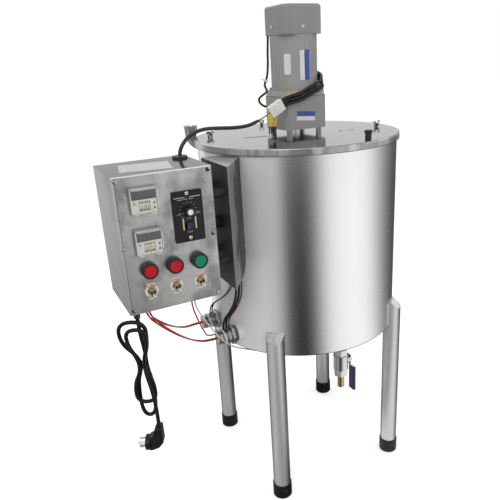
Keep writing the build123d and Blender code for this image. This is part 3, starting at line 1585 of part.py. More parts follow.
lead_tubes = []
for number in range(lead_count):
    level = (number - (lead_count - 1) / 2) * lead_pitch
    lifted = connector_side * -level
    sleeve_end = connector_end + lifted
    sleeve_points = [(x, y, z + level) for x, y, z in round_motor(sleeve_rows)]
    sleeve_points += [tuple(Vector(*point) + lifted) for point in before_gearbox(sleeve_front_rows)]
    sleeve_points += [tuple(sleeve_end + connector_way * lead_last_run), tuple(sleeve_end)]
    lead_tubes.append(make_tube(f"sleeve_{number}", sleeve_points, lead_diameter))
earth_end = connector_end - connector_side * earth_off[0] + Vector(0, earth_off[1], 0)
earth_before = earth_end + connector_way * lead_last_run
earth_points = [*before_gearbox(earth_front_rows), tuple(earth_before), tuple(earth_end)]
connector_half = connector_side * (connector_width / 2)
connector_back = Vector(0, (connector_height + connector_latch) / 2, 0)
fan_lead_end = connector_start + connector_way * (connector_length / 2) + connector_back
fan_lead_before = fan_lead_end + Vector(0, lead_last_run, 0)
fan_lead_points = [
    *round_motor(fan_lead_rows),
    *beside_gearbox(fan_lead_side_rows),
    tuple(fan_lead_before),
    tuple(fan_lead_end),
]
spare_start = connector_start + connector_way * (connector_length / 3) + connector_half
spare_bend = spare_start + connector_side * spare_lead_reach
spare_points = [tuple(spare_start)]
for across, drop in spare_lead_rows:
    spare_points.append(tuple(spare_bend - Vector(across, 0, drop)))
lead_tubes += [
    make_tube("earth_lead", earth_points, earth_lead_diameter),
    make_tube("fan_lead", fan_lead_points, fan_lead_diameter),
    make_tube("spare_lead", spare_points, spare_lead_diameter),
]
with BuildPart() as motor_leads:
    add(lead_tubes)
finish(motor_leads, "motor_leads")

# Heater wires: a pair from the box to each terminal head
wire_top = box_bottom + wire_inside
wire_low = box_bottom - wire_below
red_tubes = []
for number, (y, z) in enumerate(heater_places):
    sag, bow = heater_wire_rows[number]
    for side in (-0.5, 0.5):
        wire_x = heater_wire_x + side * wire_spread
        wire_y = heater_wire_y + (0.5 - number) * wire_spread
        end = (terminal_faces[number], y - side * wire_spread, z)
        before = (terminal_faces[number] - wire_last_run, y - side * wire_spread, z)
        start = (wire_x, wire_y, wire_low)
        belly = hang(start, before, sag, (0, bow), heater_wire_steps)
        points = [(wire_x, wire_y, wire_top), start, *belly, before, end]
        red_tubes.append(make_tube(f"heater_wire_{number}", points, wire_diameter))
with BuildPart() as heater_wires:
    add(red_tubes)
finish(heater_wires, "heater_wires")

# Wire bundle: product probe lead, control lead and the leads from the duct
probe_lead_start = (probe_wire_x + wire_spread / 2, probe_wire_y, wire_low)
under_edge = (wall_at(under_edge_y) - wire_diameter, under_edge_y, shell_bottom - under_edge_drop)
probe_low = product_gland_bottom - probe_lead_drop
probe_lead_before = (product_probe_x - probe_lead_side, product_probe_y, probe_low)
probe_lead_points = [
    (probe_wire_x + wire_spread / 2, probe_wire_y, wire_top),
    probe_lead_start,
    *hang(probe_lead_start, under_edge, probe_lead_sag, (0, 0), probe_lead_steps),
    under_edge,
    *hang(under_edge, probe_lead_before, under_edge_sag, (0, under_edge_bow), under_edge_steps),
    probe_lead_before,
    (product_probe_x, product_probe_y, probe_low),
    (product_probe_x, product_probe_y, product_gland_bottom),
]
second_y, second_z = heater_places[1]
control_start = (probe_wire_x - wire_spread / 2, probe_wire_y, wire_low)
control_z = second_z + 2 * wire_spread
control_end = (terminal_faces[1], second_y, control_z)
control_before = (terminal_faces[1] - wire_last_run, second_y, control_z)
control_points = [
    (probe_wire_x - wire_spread / 2, probe_wire_y, wire_top),
    control_start,
    *hang(control_start, control_before, control_lead_sag, (0, control_lead_bow), control_lead_steps),
    control_before,
    control_end,
]
bundle_tubes = [
    make_tube("probe_lead", probe_lead_points, wire_diameter),
    make_tube("control_lead", control_points, wire_diameter),
]
lead_x = duct_outer + duct_lead_in
end_x = [face + inner for face, inner in zip(terminal_faces, duct_lead_ends)]
for number, (heater, thick) in enumerate(duct_lead_rows):
    heater_y, heater_z = heater_places[heater]
    lead_x += thick / 2
    end_x[heater] += thick / 2
    over = heater_z + terminal_diameter / 2 + cable_clearance
    collar_edge = terminal_faces[heater] + terminal_length - terminal_collar_length
    if end_x[heater] + thick / 2 + cable_clearance > collar_edge:
        over += terminal_collar
    lead_y = duct_near + duct_lead_back
    top = (lead_x, lead_y, duct_bottom + duct_lead_rise)
    start = (lead_x, lead_y + duct_lead_step, duct_bottom + duct_lead_foot)
    before = (end_x[heater], heater_y, over + wire_last_run)
    belly = hang(start, before, duct_lead_sag, (duct_lead_bows[heater], 0), duct_lead_steps)
    points = [top, start, *belly, before, (end_x[heater], heater_y, over)]
    bundle_tubes.append(make_tube(f"duct_lead_{number}", points, thick))
    lead_x += thick / 2 + duct_lead_gap
    end_x[heater] += thick / 2 + duct_lead_gap
with BuildPart() as wire_bundle:
    add(bundle_tubes)
finish(wire_bundle, "wire_bundle")

# Mains cord: straight out of the gland, two loops tied at the waist, then the tail to the plug
hank_waist = box_bottom - hank_drop
hank_right = Vector(*polar(1, hank_turn))
hank_near = Vector(*polar(1, hank_turn - 90))
hank_up = Vector(0, 0, 1)


def hank_place(across, near, height):
    return Vector(gland_x, gland_y, height) + hank_right * (hank_shift + across) + hank_near * near


cord_top = box_bottom + box_wall + gland_flange_height
cord_below = box_bottom - cord_exit - cord_diameter / 2
hank_stops = [(Vector(gland_x, gland_y, cord_below), -hank_up)]
hank_stops.append((hank_place(hank_waist_half, 0, hank_waist), -hank_up))
for loop in range(hank_loops):
    layer = (loop + 1) * hank_pitch
    low = hank_low_bow + loop * hank_low_step
    left = -hank_left_bow + loop * hank_left_step
    low_z = hank_waist - hank_low_height
    hank_stops.append((hank_place(low, layer, low_z), -hank_up))
    lowest_z = hank_waist - hank_bottom + loop * hank_bottom_step
    highest_z = hank_waist + hank_top - loop * hank_top_step
    hank_stops.append((hank_place(0, layer, lowest_z), -hank_right))
    hank_stops.append((hank_place(-low, layer, low_z), hank_up))
    hank_stops.append((hank_place(-hank_waist_half, layer, hank_waist), hank_up))
    hank_stops.append((hank_place(left, layer, hank_waist + hank_left_height), hank_up))
    crown = (left + hank_right_bow) / 2
    hank_stops.append((hank_place(crown, layer, highest_z), hank_right))
    hank_stops.append((hank_place(hank_right_bow, layer, hank_waist + hank_right_height), -hank_up))
    hank_stops.append((hank_place(hank_waist_half, layer, hank_waist), -hank_up))
tail_layer = (hank_loops + 1) * hank_pitch
tail_end = hank_place(tail_across, tail_layer, hank_waist - tail_drop)
hank_stops.append((hank_place(tail_bow, tail_layer, hank_waist - hank_low_height), -hank_up))
hank_stops.append((tail_end + hank_up * cord_diameter, -hank_up))
with BuildLine() as cord_route:
    Line((gland_x, gland_y, cord_top), hank_stops[0][0])
    for (start, start_way), (end, end_way) in zip(hank_stops, hank_stops[1:]):
        biarc(start, start_way, end, end_way)
    Line(hank_stops[-1][0], tail_end)
cord_wire = cord_route.wires()[0]
with BuildPart() as mains_cord:
    with BuildSketch(up_plane(gland_x, gland_y, cord_top)):
        Circle(cord_diameter / 2)
    sweep(path=cord_wire)
finish(mains_cord, "mains_cord")
cord_length = cord_wire.length
cord_arcs = [edge.radius for edge in cord_route.edges().filter_by(GeomType.CIRCLE)]
cord_ratio = mains_cord.part.volume / (cord_length * math.pi * cord_diameter**2 / 4)
print("mains_cord length", round(cord_length), "volume over section times length", round(cord_ratio, 4))
print("mains_cord radii", [round(radius, 1) for radius in cord_arcs])
cord_steps = range(cord_sample_count + 1)
cord_samples = [cord_wire.position_at(step / cord_sample_count) for step in cord_steps]
cord_apart = round(cord_sample_gap * cord_diameter * cord_sample_count / cord_length)
cord_least = min(
    (cord_samples[first] - cord_samples[second]).length
    for first in cord_steps
    for second in cord_steps[first + cord_apart :]
)
print("mains_cord least gap between turns", round(cord_least - cord_diameter, 2))

# Right-angle plug: slotted boot, round face and three flat pins
plug_height = hank_waist - tail_drop - plug_drop
plug_plane = Plane(
    origin=hank_place(tail_across - plug_face, tail_layer, plug_height),
    x_dir=hank_near,
    z_dir=-hank_right,
)
boot_plane = Plane(origin=tail_end, x_dir=hank_right, z_dir=hank_near)
with BuildPart() as plug:
    with BuildSketch(boot_plane):
        with BuildLine():
            Polyline(*plug_outline, close=True)
        make_face()
    extrude(amount=plug_width / 2, both=True)
    fillet(plug.edges(), plug_round)
    for slot in range(plug_slot_count):
        with BuildSketch(boot_plane):
            for side, align in ((-1, Align.MAX), (1, Align.MIN)):
                with Locations((side * plug_core_half, -plug_slot_pitch * (slot + 1))):
                    Rectangle(plug_slot_reach, plug_slot_gap, align=(align, Align.CENTER))
        extrude(amount=plug_width, both=True, mode=Mode.SUBTRACT)
    with BuildSketch(plug_plane):
        Circle(plug_disc_diameter / 2)
    extrude(amount=-plug_disc_length)
    for side in (-1, 1):
        with BuildSketch(plug_plane):
            pin_place = (side * plug_pin_spread, plug_pin_drop / 2, 0)
            with Locations(Location(pin_place, (0, 0, side * plug_pin_lean))):
                Rectangle(plug_pin_thickness, plug_pin_width)
        extrude(amount=plug_pin_length)
    with BuildSketch(plug_plane):
        with Locations((0, -plug_pin_drop)):
            Rectangle(plug_pin_thickness, plug_pin_width)
    extrude(amount=plug_pin_length)
finish(plug, "plug")
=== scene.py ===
import math
import bmesh
import bpy
import numpy as np
from mathutils import Matrix, Vector


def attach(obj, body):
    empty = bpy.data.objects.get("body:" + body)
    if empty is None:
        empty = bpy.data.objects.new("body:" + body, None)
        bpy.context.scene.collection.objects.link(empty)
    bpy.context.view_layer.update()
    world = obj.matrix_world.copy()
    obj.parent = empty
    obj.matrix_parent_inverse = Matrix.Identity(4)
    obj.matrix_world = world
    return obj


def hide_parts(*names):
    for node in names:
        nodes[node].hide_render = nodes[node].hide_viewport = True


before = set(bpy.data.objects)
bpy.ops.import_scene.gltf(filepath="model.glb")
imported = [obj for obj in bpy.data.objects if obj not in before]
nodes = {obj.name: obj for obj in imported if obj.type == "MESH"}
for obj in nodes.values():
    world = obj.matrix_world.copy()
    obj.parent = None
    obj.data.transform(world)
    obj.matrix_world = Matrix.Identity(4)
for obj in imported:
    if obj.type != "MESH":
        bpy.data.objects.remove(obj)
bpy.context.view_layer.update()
mm, micron = 0.001, 0.000001
tankX = 109.25  # the tank stands on this line, all places below are in millimetres
print("frame loaded:", len(nodes), "nodes")


def placed(name, data):
    item = bpy.data.objects.new(name, data)
    bpy.context.scene.collection.objects.link(item)
    return item


# Camera and view
photoView = {"at": (-485.31, -1042.38, 934.24), "heading": -26.92, "tilt": 69.73, "roll": -2.78,
             "lens": 39.66, "shift": (-0.05, 0.02)}


def placeCamera(view):
    data = bpy.data.cameras.new("photoCamera")
    data.lens, data.sensor_width = view["lens"], 36.0
    data.shift_x, data.shift_y = view["shift"]
    data.clip_start, data.clip_end = 0.05, 60.0
    camera = placed("photoCamera", data)
    turn = (Matrix.Rotation(math.radians(view["heading"]), 4, "Z")
            @ Matrix.Rotation(math.radians(view["tilt"]), 4, "X")
            @ Matrix.Rotation(math.radians(view["roll"]), 4, "Z"))
    camera.matrix_world = Matrix.Translation([v * mm for v in view["at"]]) @ turn
    bpy.context.scene.camera = camera


placeCamera(photoView)
bpy.context.scene.view_settings.view_transform = "Standard"
print("camera placed")


# Shader sums: a Tap is one socket, and arithmetic on it adds Math nodes
class Tap:
    def __init__(self, finish, socket):
        self.finish, self.socket = finish, socket

    def sum(self, how, first, second=None):
        return self.finish.node("Math", {0: first, 1: second}, operation=how)

    def __add__(self, other): return self.sum("ADD", self, other)
    def __radd__(self, other): return self.sum("ADD", other, self)
    def __sub__(self, other): return self.sum("SUBTRACT", self, other)
    def __rsub__(self, other): return self.sum("SUBTRACT", other, self)
    def __mul__(self, other): return self.sum("MULTIPLY", self, other)
    def __rmul__(self, other): return self.sum("MULTIPLY", other, self)
    def __truediv__(self, other): return self.sum("DIVIDE", self, other)
    def __pow__(self, other): return self.sum("POWER", self, other)
    def __gt__(self, other): return self.sum("GREATER_THAN", self, other)
    def __lt__(self, other): return self.sum("LESS_THAN", self, other)
    def __abs__(self): return self.sum("ABSOLUTE", self)


# A finish is one material with its Principled shader; over lays a second look on it where a mask is 1
class Finish:
    def __init__(self, name, colour=0.5, roughness=0.5, metallic=0.0, shine=0.5, holder=None):
        self.material = holder or bpy.data.materials.new(name)
        self.material.use_nodes = True
        self.tree = self.material.node_tree
        self.shader = self.tree.nodes.get("Principled BSDF")
        if self.shader:
            self.metal = metallic
            self.set(**{"Metallic": metallic, "Specular IOR Level": shine})
            self.look(colour, roughness)

    def feed(self, socket, value):
        if isinstance(value, Tap):
            self.tree.links.new(value.socket, socket)
        elif value is not None:
            if socket.type == "RGBA":  # one number is a grey
                value = (*(value if hasattr(value, "__len__") else (value,) * 3), 1.0)
            socket.default_value = value

    def set(self, **sockets):
        for key, value in sockets.items():
            self.feed(self.shader.inputs[key], value)

    def look(self, tone, rough):
        self.tone, self.rough = tone, rough
        self.set(**{"Base Color": tone, "Roughness": rough})

    def over(self, mask, colour=None, rough=None, metal=None):
        tone = self.tone if colour is None else self.mix(mask, self.tone, colour)
        self.look(tone, self.rough if rough is None else mask * (rough - self.rough) + self.rough)
        if metal is not None:
            self.metal = mask * (metal - self.metal) + self.metal
            self.set(Metallic=self.metal)

    def node(self, kind, sockets=None, out=0, **settings):
        made = self.tree.nodes.new("ShaderNode" + kind)
        for key, value in settings.items():
            if key == "stops":
                ramp = made.color_ramp.elements
                while len(ramp) < len(value):
                    ramp.new(0.5)
                for element, (place, grey) in zip(ramp, value):
                    element.position, element.color = place, (grey, grey, grey, 1.0)
            else:
                setattr(made, key, value)
        for key, value in (sockets or {}).items():
            self.feed(made.inputs[key], value)
        return Tap(self, made.outputs[out])

    def point(self, centre=(0, 0, 0), scale=(1, 1, 1)):
        spot = self.node("TexCoord", out="Object")
        back = [-c * mm * s for c, s in zip(centre, scale)]
        return self.node("Mapping", {"Vector": spot, "Location": back, "Scale": scale})

    def axes(self, centre=(0, 0, 0)):  # in millimetres
        where = self.point(centre, (1 / mm,) * 3)
        return [self.node("SeparateXYZ", {0: where}, out=i) for i in range(3)]

    def noise(self, scale, detail=2.0, stretch=(1, 1, 1), rough=0.5, centre=(0, 0, 0)):
        return self.node("TexNoise", {
            "Vector": self.point(centre, stretch), "Scale": scale, "Detail": detail, "Roughness": rough})

    def soft(self, value, low, high):
        return self.node("MapRange", {"Value": value, "From Min": low, "From Max": high},
                         interpolation_type="SMOOTHSTEP")

    def between(self, value, low, high):
        return (value > low) * (value < high)

    def fraction(self, value):
        return self.node("Math", {0: value}, operation="FRACT")

    def mix(self, mask, first, second):
        return self.node("Mix", {0: mask, 6: first, 7: second}, 2, data_type="RGBA")

    def bump(self, height, strength, distance):
        self.set(Normal=self.node("Bump", {
            "Height": height, "Strength": strength, "Distance": distance}))


# Sheet and turned steel: fine grain along one way, slow waves of the sheet, faint wipe marks
def steel(name, colour, rough, grain, grainAmount, wave=0.0, stain=0.0, stainRough=0.0, patch=9.0, cut=0.00004):
    made = Finish(name, colour, rough, 1.0)
    lines = made.noise(1.0, 3.0, grain, 0.6)
    smudge = made.soft(made.noise(patch, 5.0, (1.0, 1.0, 0.6), 0.62), 0.46, 0.74)
    tone = made.mix(smudge * stain, colour, [c * 0.70 for c in colour])
    made.look(tone, rough + (lines - 0.5) * grainAmount + smudge * stainRough)
    made.bump(lines * cut + made.noise(7.0, 1.0, (1, 1, 1.3), 0.4) * wave, 0.5, 1.0)
    return made


vesselSteel = steel("vesselSteel", (0.78, 0.78, 0.77), 0.18, (6, 6, 700), 0.06, 0.0003, 0.10, 0.05)
postSteel = steel("postSteel", (0.30, 0.30, 0.295), 0.22, (300, 300, 300), 0.14, 0.0, 0.2, 0.1)
valveSteel = steel("valveSteel", (0.64, 0.635, 0.62), 0.30, (240, 240, 240), 0.22, 0.0, 0.25, 0.10)
turnedSteel = steel("turnedSteel", (0.72, 0.72, 0.71), 0.22, (60, 60, 1400), 0.12, 0.0, 0.10, 0.06)
screwSteel = steel("screwSteel", (0.66, 0.66, 0.65), 0.22, (500, 500, 500), 0.14, 0.0, 0.30, 0.06, 160.0)
chrome = steel("chrome", (0.84, 0.84, 0.84), 0.08, (300, 300, 300), 0.04, 0.0, 0.10, 0.10)
bushMetal = steel("bushMetal", (0.46, 0.40, 0.27), 0.30, (300, 300, 300), 0.14, 0.0, 0.5, 0.10, 200.0)
goldBar = steel("goldBar", (0.66, 0.50, 0.24), 0.34, (400, 400, 400), 0.12, 0.0, 0.10, 0.05)
brass = steel("brass", (0.56, 0.40, 0.20), 0.30, (60, 60, 900), 0.16, 0.0, 0.5, 0.14)
copperCap = steel("copperCap", (0.50, 0.37, 0.29), 0.30, (400, 400, 400), 0.14, 0.0, 0.3, 0.10, 120.0)
beadSteel = steel("beadSteel", (0.62, 0.61, 0.59), 0.24, (500, 500, 500), 0.20, 0.0, 0.6, 0.12, 110.0)


def hornFinish(mouth):
    # bent tube with a dark rolled rim at its mouth
    made = steel("hornSteel", (0.50, 0.50, 0.49), 0.30, (300, 300, 300), 0.14, 0.0, 0.5, 0.1, 60.0)
    made.over(made.axes()[2] > mouth, 0.05)
    return made


def wingFinish():
    # plated casting with painted dark reflections in random patches
    made = steel("wingSteel", (0.56, 0.56, 0.55), 0.12, (300, 300, 300), 0.10, 0.0, 0.6, 0.1, 190.0)
    made.over(made.soft(made.noise(150.0, 2.0), 0.52, 0.57), 0.025, 0.30)
    return made


hornSteel, wingSteel = hornFinish(806.4), wingFinish()


def tankFinish(duct, foot):
    # drawn sheet, dressed dull beside the duct, with a dark folded seam at its foot
    made = steel("tankSteel", (0.80, 0.80, 0.79), 0.27, (5, 5, 700), 0.015, 0.0, 0.05, 0.02, 9.0, 0.0)
    x, y, z = made.axes()
    near = made.soft(x, duct["clear"], duct["beside"])
    made.over(near * made.soft(y, duct["back"], duct["front"]), (0.78, 0.78, 0.775), 0.46, 0.12)
    for across, height, wall in duct["sockets"]:  # heater sockets welded into the wall
        ring = ((y - across) ** 2.0 + (z - height) ** 2.0) ** 0.5 < duct["ring"]
        made.over(ring * (x < wall), 0.10, 0.35)
    made.over(z < foot, 0.12)
    return made


tankSteel = tankFinish({"clear": -10.0, "beside": -60.0, "back": 20.0, "front": -20.0, "ring": 20.0,
                        "sockets": ((-72.0, 389.0, -94.0), (-5.0, 400.0, -104.0))}, 359.4)


def lidFinish(rim, seams):
    # mirror top; the turned-down rim is worked by hand, so it is wavier, duller and has upright seams; its dark
    # and pale patches are painted reflections and a painted shade line runs along its lower edge
    made = steel("lidSteel", (0.34, 0.34, 0.336), 0.09, (500, 12, 12), 0.05, 0.0003, 0.12, 0.06, 9.0, 0.00001)
    x, y, z = made.axes((tankX, 0, 0))
    low = (z < rim["top"]) * ((x * x + y * y) ** 0.5 > rim["inside"])
    turn = made.fraction(x.sum("ARCTAN2", y, x) * (seams["count"] / (2 * math.pi)) + seams["offset"])
    dents = made.noise(15.0, 3.0, (1, 1, 0.15), 0.55)
    # painted reflections of the rim's waves: its tone follows the dents, with pale patches over it
    wavyReflections = made.mix(made.soft(dents, 0.35, 0.65), (0.40, 0.40, 0.395), 0.29)
    made.over(low, wavyReflections, 0.28, 0.55)
    bright = made.soft(made.noise(26.0, 2.0, (1, 1, 0.15), 0.5, (30, 0, 0)), 0.52, 0.60)
    made.over(low * bright, (0.54, 0.54, 0.535))
    made.over(low * (turn < seams["width"]), 0.10)
    # painted shade along the rim's lower edge, where it overhangs the tank
    made.over(made.between(z, 0, rim["foot"]), 0.06)
    fine = made.noise(60.0, 2.0, (1, 1, 0.3), 0.5)
    made.bump(made.noise(7.0, 1.0) * 0.0003 + low * (dents * 0.007 + fine * 0.0012), 0.5, 1.0)
    return made


lidSteel = lidFinish({"top": 778.6, "foot": 767.0, "inside": 213.6},
                     {"count": 9, "offset": 4.226, "width": 0.006})


def boxFinish(box):
    # satin sheet, its top painted dark as shade; just behind the front panel run a painted shade line in the gap
    # and a painted highlight on the bead
    made = steel("boxSteel", (0.37, 0.37, 0.363), 0.33, (900, 900, 14), 0.12, 0.0004, 0.22, 0.10)
    _, y, z = made.axes()
    # painted shade: the top is coloured near black, with random clouds
    cloud = made.soft(made.noise(11.0, 4.0, (1, 1, 1), 0.6), 0.42, 0.64)
    sheet = made.mix(cloud, (0.046, 0.046, 0.045), (0.026, 0.026, 0.025))
    made.over(z > box["top"] - 0.4, sheet, 0.12, 0.30)
    # painted shade line in the gap, then a painted highlight on the bead
    made.over(made.between(y, box["front"], box["gapShadeEnd"]), 0.05)
    made.over(made.between(y, box["gapShadeEnd"], box["bead"]), (0.85, 0.85, 0.84))
    return made


boxSteel = boxFinish({"top": 770.0, "front": -181.0, "gapShadeEnd": -179.4, "bead": -178.0})


def panelFinish(panel):
    # brushed sheet with dark and pale clouds that are painted reflections of its wavy face, a painted highlight
    # along its left and top edges and a painted shade line in the fold inside it
    made = steel("panelSteel", (0.465, 0.462, 0.454), 0.31, (14, 900, 1000), 0.14, 0.0006, 0.20, 0.10)
    x, _, z = made.axes()
    # pale and dark clouds are painted reflections of the wavy sheet
    cloud = made.soft(made.noise(15.0, 5.0, (1, 1, 0.7), 0.64), 0.44, 0.66)
    paleReflection = made.soft(made.noise(8.0, 4.0, (1, 1, 1.4), 0.6, (90, 0, 40)), 0.50, 0.66)
    made.over(paleReflection, (0.56, 0.557, 0.548))
    made.over(cloud, (0.25, 0.248, 0.243), 0.36)
    # painted shade line in the fold; painted highlights on the strip beside the edge, on the left edge and along
    # the top edge
    made.over(made.between(x, panel["fold"], panel["line"]), 0.12)
    made.over(made.between(x, panel["edge"], panel["fold"]), (0.56, 0.56, 0.55))
    made.over(x < panel["edge"], (0.50, 0.50, 0.49))
    made.over(z > panel["top"], (0.80, 0.80, 0.79), 0.22)
    return made


panelSteel = panelFinish({"edge": -324.15, "fold": -321.65, "line": -320.65, "top": 768.7})


def legFinish(cap):
    # brushed tube with painted shade on its lee side and painted dark edges where it turns away from view; the
    # slanted cap is sheet, bright and wavy
    made = steel("legSteel", (0.64, 0.64, 0.635), 0.34, (700, 700, 20), 0.10, 0.0, 0.12, 0.05)
    made.metal = 0.45
    x, y, z = made.axes((tankX, 0, cap["height"]))
    middle = cap["reach"] * math.sqrt(0.5)  # the legs stand on the diagonals
    aside = x - ((x > 0.0) * 2.0 - 1.0) * middle
    ahead = y - ((y > 0.0) * 2.0 - 1.0) * middle
    across = aside * cap["lee"][0] + ahead * cap["lee"][1]
    # painted shade on the lee side
    made.over(made.soft(across, *cap["shade"]), 0.10, 0.45, 0.3)
    # painted dark edges where the tube turns away from view
    away = made.node("LayerWeight", {"Blend": 0.5}, out="Facing")
    made.over(made.soft(away, 0.35, 0.95), 0.06)
    out = (x * x + y * y) ** 0.5 - cap["radius"]
    sheet = (z + out * cap["slope"]) > -1.0
    made.over(sheet, (0.82, 0.82, 0.81), 0.22)
    ripple = made.noise(46.0, 2.0, (1, 1, 1), 0.5)
    made.bump(sheet * ripple * 0.0034, 0.5, 1.0)
    return made


legCap = {"height": 407.0, "radius": 211.0, "slope": math.tan(math.radians(40.0)), "reach": 212.5,
          "half": 18.0, "bead": 18.4, "lee": (0.892, -0.452), "shade": (5.0, 17.0)}
legSteel = legFinish(legCap)


def ductFinish(duct):
    # folded sheet: the side towards the box is painted near black as deep shade, the near face has painted dark
    # reflections in blotches
    made = steel("ductSteel", (0.27, 0.27, 0.27), 0.24, (500, 500, 20), 0.06, 0.0010, 0.15, 0.08)
    x, y, z = made.axes()
    inward = (x - duct["outer"]) / duct["deep"]
    # painted dark reflections in blotches on the near face
    darkReflection = made.soft(made.noise(26.0, 4.0, (1, 1, 0.40), 0.62) + inward * 0.30, 0.57, 0.66)
    made.over(darkReflection, 0.030, 0.36, 0.6)
    made.over(z > duct["top"], 0.34, 0.20)
    # painted shade: the side towards the box is coloured near black and matt
    made.over(x < duct["outer"] + duct["skin"], (0.030, 0.030, 0.031), 0.55, 0.0)
    made.over((y < duct["edge"]) * (x < duct["outer"] + duct["fold"]), 0.30)
    return made


ductSteel = ductFinish({"outer": -133.75, "deep": 57.0, "top": 763.4, "edge": -188.4, "skin": 0.7, "fold": 3.0})


# Sprayed paint: fine orange peel, its depth in micrometres, and a little uneven colour
def paint(name, colour, rough, grain, depth, blotch=0.10):
    made = Finish(name, colour, rough)
    peel = made.noise(grain, 3.0, (1, 1, 1), 0.6)
    dusty = made.soft(made.noise(22.0, 4.0, (1, 1, 1), 0.6), 0.35, 0.72)
    tone = made.mix(dusty * blotch * 4.0, colour, [c * (1.0 - blotch) for c in colour])
    made.look(tone, rough + (peel - 0.5) * 0.16 + dusty * 0.05)
    made.bump(peel, 0.5, depth * micron)
    return made


motorGrey = paint("motorGrey", (0.405, 0.405, 0.392), 0.42, 1500, 160)
gearboxGrey = paint("gearboxGrey", (0.300, 0.300, 0.292), 0.40, 700, 200, 0.12)
fanCoverGrey = paint("fanCoverGrey", (0.265, 0.265, 0.262), 0.46, 1700, 150)
flangeJoint = 855.9
gearboxGrey.over(gearboxGrey.axes()[2] > flangeJoint, 0.06)  # shaded joint under the flange


# Moulded plastic or rubber: satin skin with a fine texture, its depth in micrometres, paler handling marks
def moulded(name, colour, rough, grain, depth, blotch, shine=0.5):
    made = Finish(name, colour, rough, 0.0, shine)
    skin = made.noise(grain, 2.0, (1, 1, 1), 0.55)
    marks = made.soft(made.noise(60.0, 5.0, (1, 1, 1), 0.65), 0.50, 0.72)
    paler = [min(1.0, c * (1.0 + blotch) + blotch * 0.05) for c in colour]
    made.look(made.mix(marks, colour, paler), rough + (skin - 0.5) * 0.12 + marks * 0.06)
    made.bump(skin, 0.5, depth * micron)
    return made


footRubber = moulded("footRubber", (0.007, 0.007, 0.007), 0.55, 900, 250, 0.4, 0.3)
grommetRubber = moulded("grommetRubber", (0.014, 0.014, 0.014), 0.50, 900, 150, 0.4)
blackPlastic = moulded("blackPlastic", (0.010, 0.010, 0.011), 0.36, 1500, 80, 0.3)
whitePlastic = moulded("whitePlastic", (0.78, 0.78, 0.75), 0.36, 1500, 50, 0.05)
wheelCream = moulded("wheelCream", (0.80, 0.75, 0.58), 0.42, 1500, 50, 0.06)
plateBlack = moulded("plateBlack", (0.007, 0.007, 0.010), 0.42, 2200, 60, 0.2, 0.3)
gripBlue = moulded("gripBlue", (0.012, 0.025, 0.105), 0.38, 500, 120, 0.3)
cordBlack = moulded("cordBlack", (0.005, 0.005, 0.005), 0.44, 700, 80, 0.25, 0.28)
leadBlack = moulded("leadBlack", (0.008, 0.009, 0.012), 0.40, 900, 60, 0.3, 0.35)
wireRed = moulded("wireRed", (0.44, 0.018, 0.016), 0.34, 900, 40, 0.15)
wireDarkRed = moulded("wireDarkRed", (0.105, 0.010, 0.014), 0.36, 900, 40, 0.15)
wireWhite = moulded("wireWhite", (0.66, 0.65, 0.62), 0.38, 900, 40, 0.06)
earthYellow = moulded("earthYellow", (0.72, 0.46, 0.06), 0.36, 900, 40, 0.1)
sleeveYellow = moulded("sleeveYellow", (0.60, 0.46, 0.09), 0.42, 900, 60, 0.1)
labelWhite = moulded("labelWhite", (0.72, 0.72, 0.71), 0.40, 1200, 30, 0.05)
labelBlue = moulded("labelBlue", (0.035, 0.075, 0.33), 0.40, 1200, 30, 0.10)
filmPale = moulded("filmPale", (0.50, 0.50, 0.495), 0.30, 900, 20, 0.06)
markCream = moulded("markCream", (0.50, 0.46, 0.36), 0.45, 1500, 20, 0.10)
markGrey = moulded("markGrey", (0.26, 0.28, 0.31), 0.45, 1500, 20, 0.10)
markWhite = moulded("markWhite", (0.60, 0.60, 0.57), 0.45, 1500, 20, 0.10)
markRed = moulded("markRed", (0.50, 0.020, 0.030), 0.40, 1500, 20, 0.10)
markBrown = moulded("markBrown", (0.115, 0.065, 0.040), 0.45, 1500, 20, 0.10)
markBlack = moulded("markBlack", (0.012, 0.012, 0.012), 0.45, 1500, 20, 0.20)
tieWhite = moulded("tieWhite", (0.70, 0.70, 0.67), 0.34, 1200, 40, 0.06)
discCream = moulded("discCream", (0.62, 0.52, 0.40), 0.55, 900, 80, 0.10)


# Finishes with places on them: lamp bezels and lenses, controllers, knob, rocker, heater heads, cable end, plug
def lampAxes(made, lamps):
    # the number of lamps passed along the row, then aside and up from the middle of the nearest lamp
    x, _, z = made.axes((lamps["first"] - lamps["pitch"] / 2, 0, lamps["height"]))
    along = x / lamps["pitch"]
    return along, (made.fraction(along) - 0.5) * lamps["pitch"], z


def bezelFinish(lamps):
    # black moulding with fine upright ribs round each lamp
    made = moulded("bezelBlack", (0.012, 0.012, 0.013), 0.34, 1500, 60, 0.3)
    along, aside, up = lampAxes(made, lamps)
    rib = along.sum("SINE", along.sum("ARCTAN2", up, aside) * lamps["ribs"])
    made.bump(rib, 0.6, 0.0004)
    return made


def lensFinish(lamps):
    # clear red or green moulding over a prism pattern, darker round its edge
    made = Finish("lampLens", lamps["red"], 0.16, shine=0.25)
    along, aside, up = lampAxes(made, lamps)
    rim = (aside * aside + up * up) ** 0.5 > lamps["face"]
    isGreen = along > lamps["reds"]
    prism = made.node("TexChecker", {"Vector": made.point(), "Scale": 560.0}, out=1)
    cloud = made.noise(220.0, 2.0)
    green = made.mix(cloud, lamps["green"], [c * 1.4 for c in lamps["green"]])
    red = made.mix(cloud, lamps["red"], [c * 1.3 for c in lamps["red"]])
    edge = made.mix(isGreen, (0.12, 0.002, 0.004), (0.0, 0.05, 0.03))
    made.look(made.mix(rim, made.mix(isGreen, red, green), edge), 0.20)
    made.bump(prism, 0.35, 0.0003)
    return made


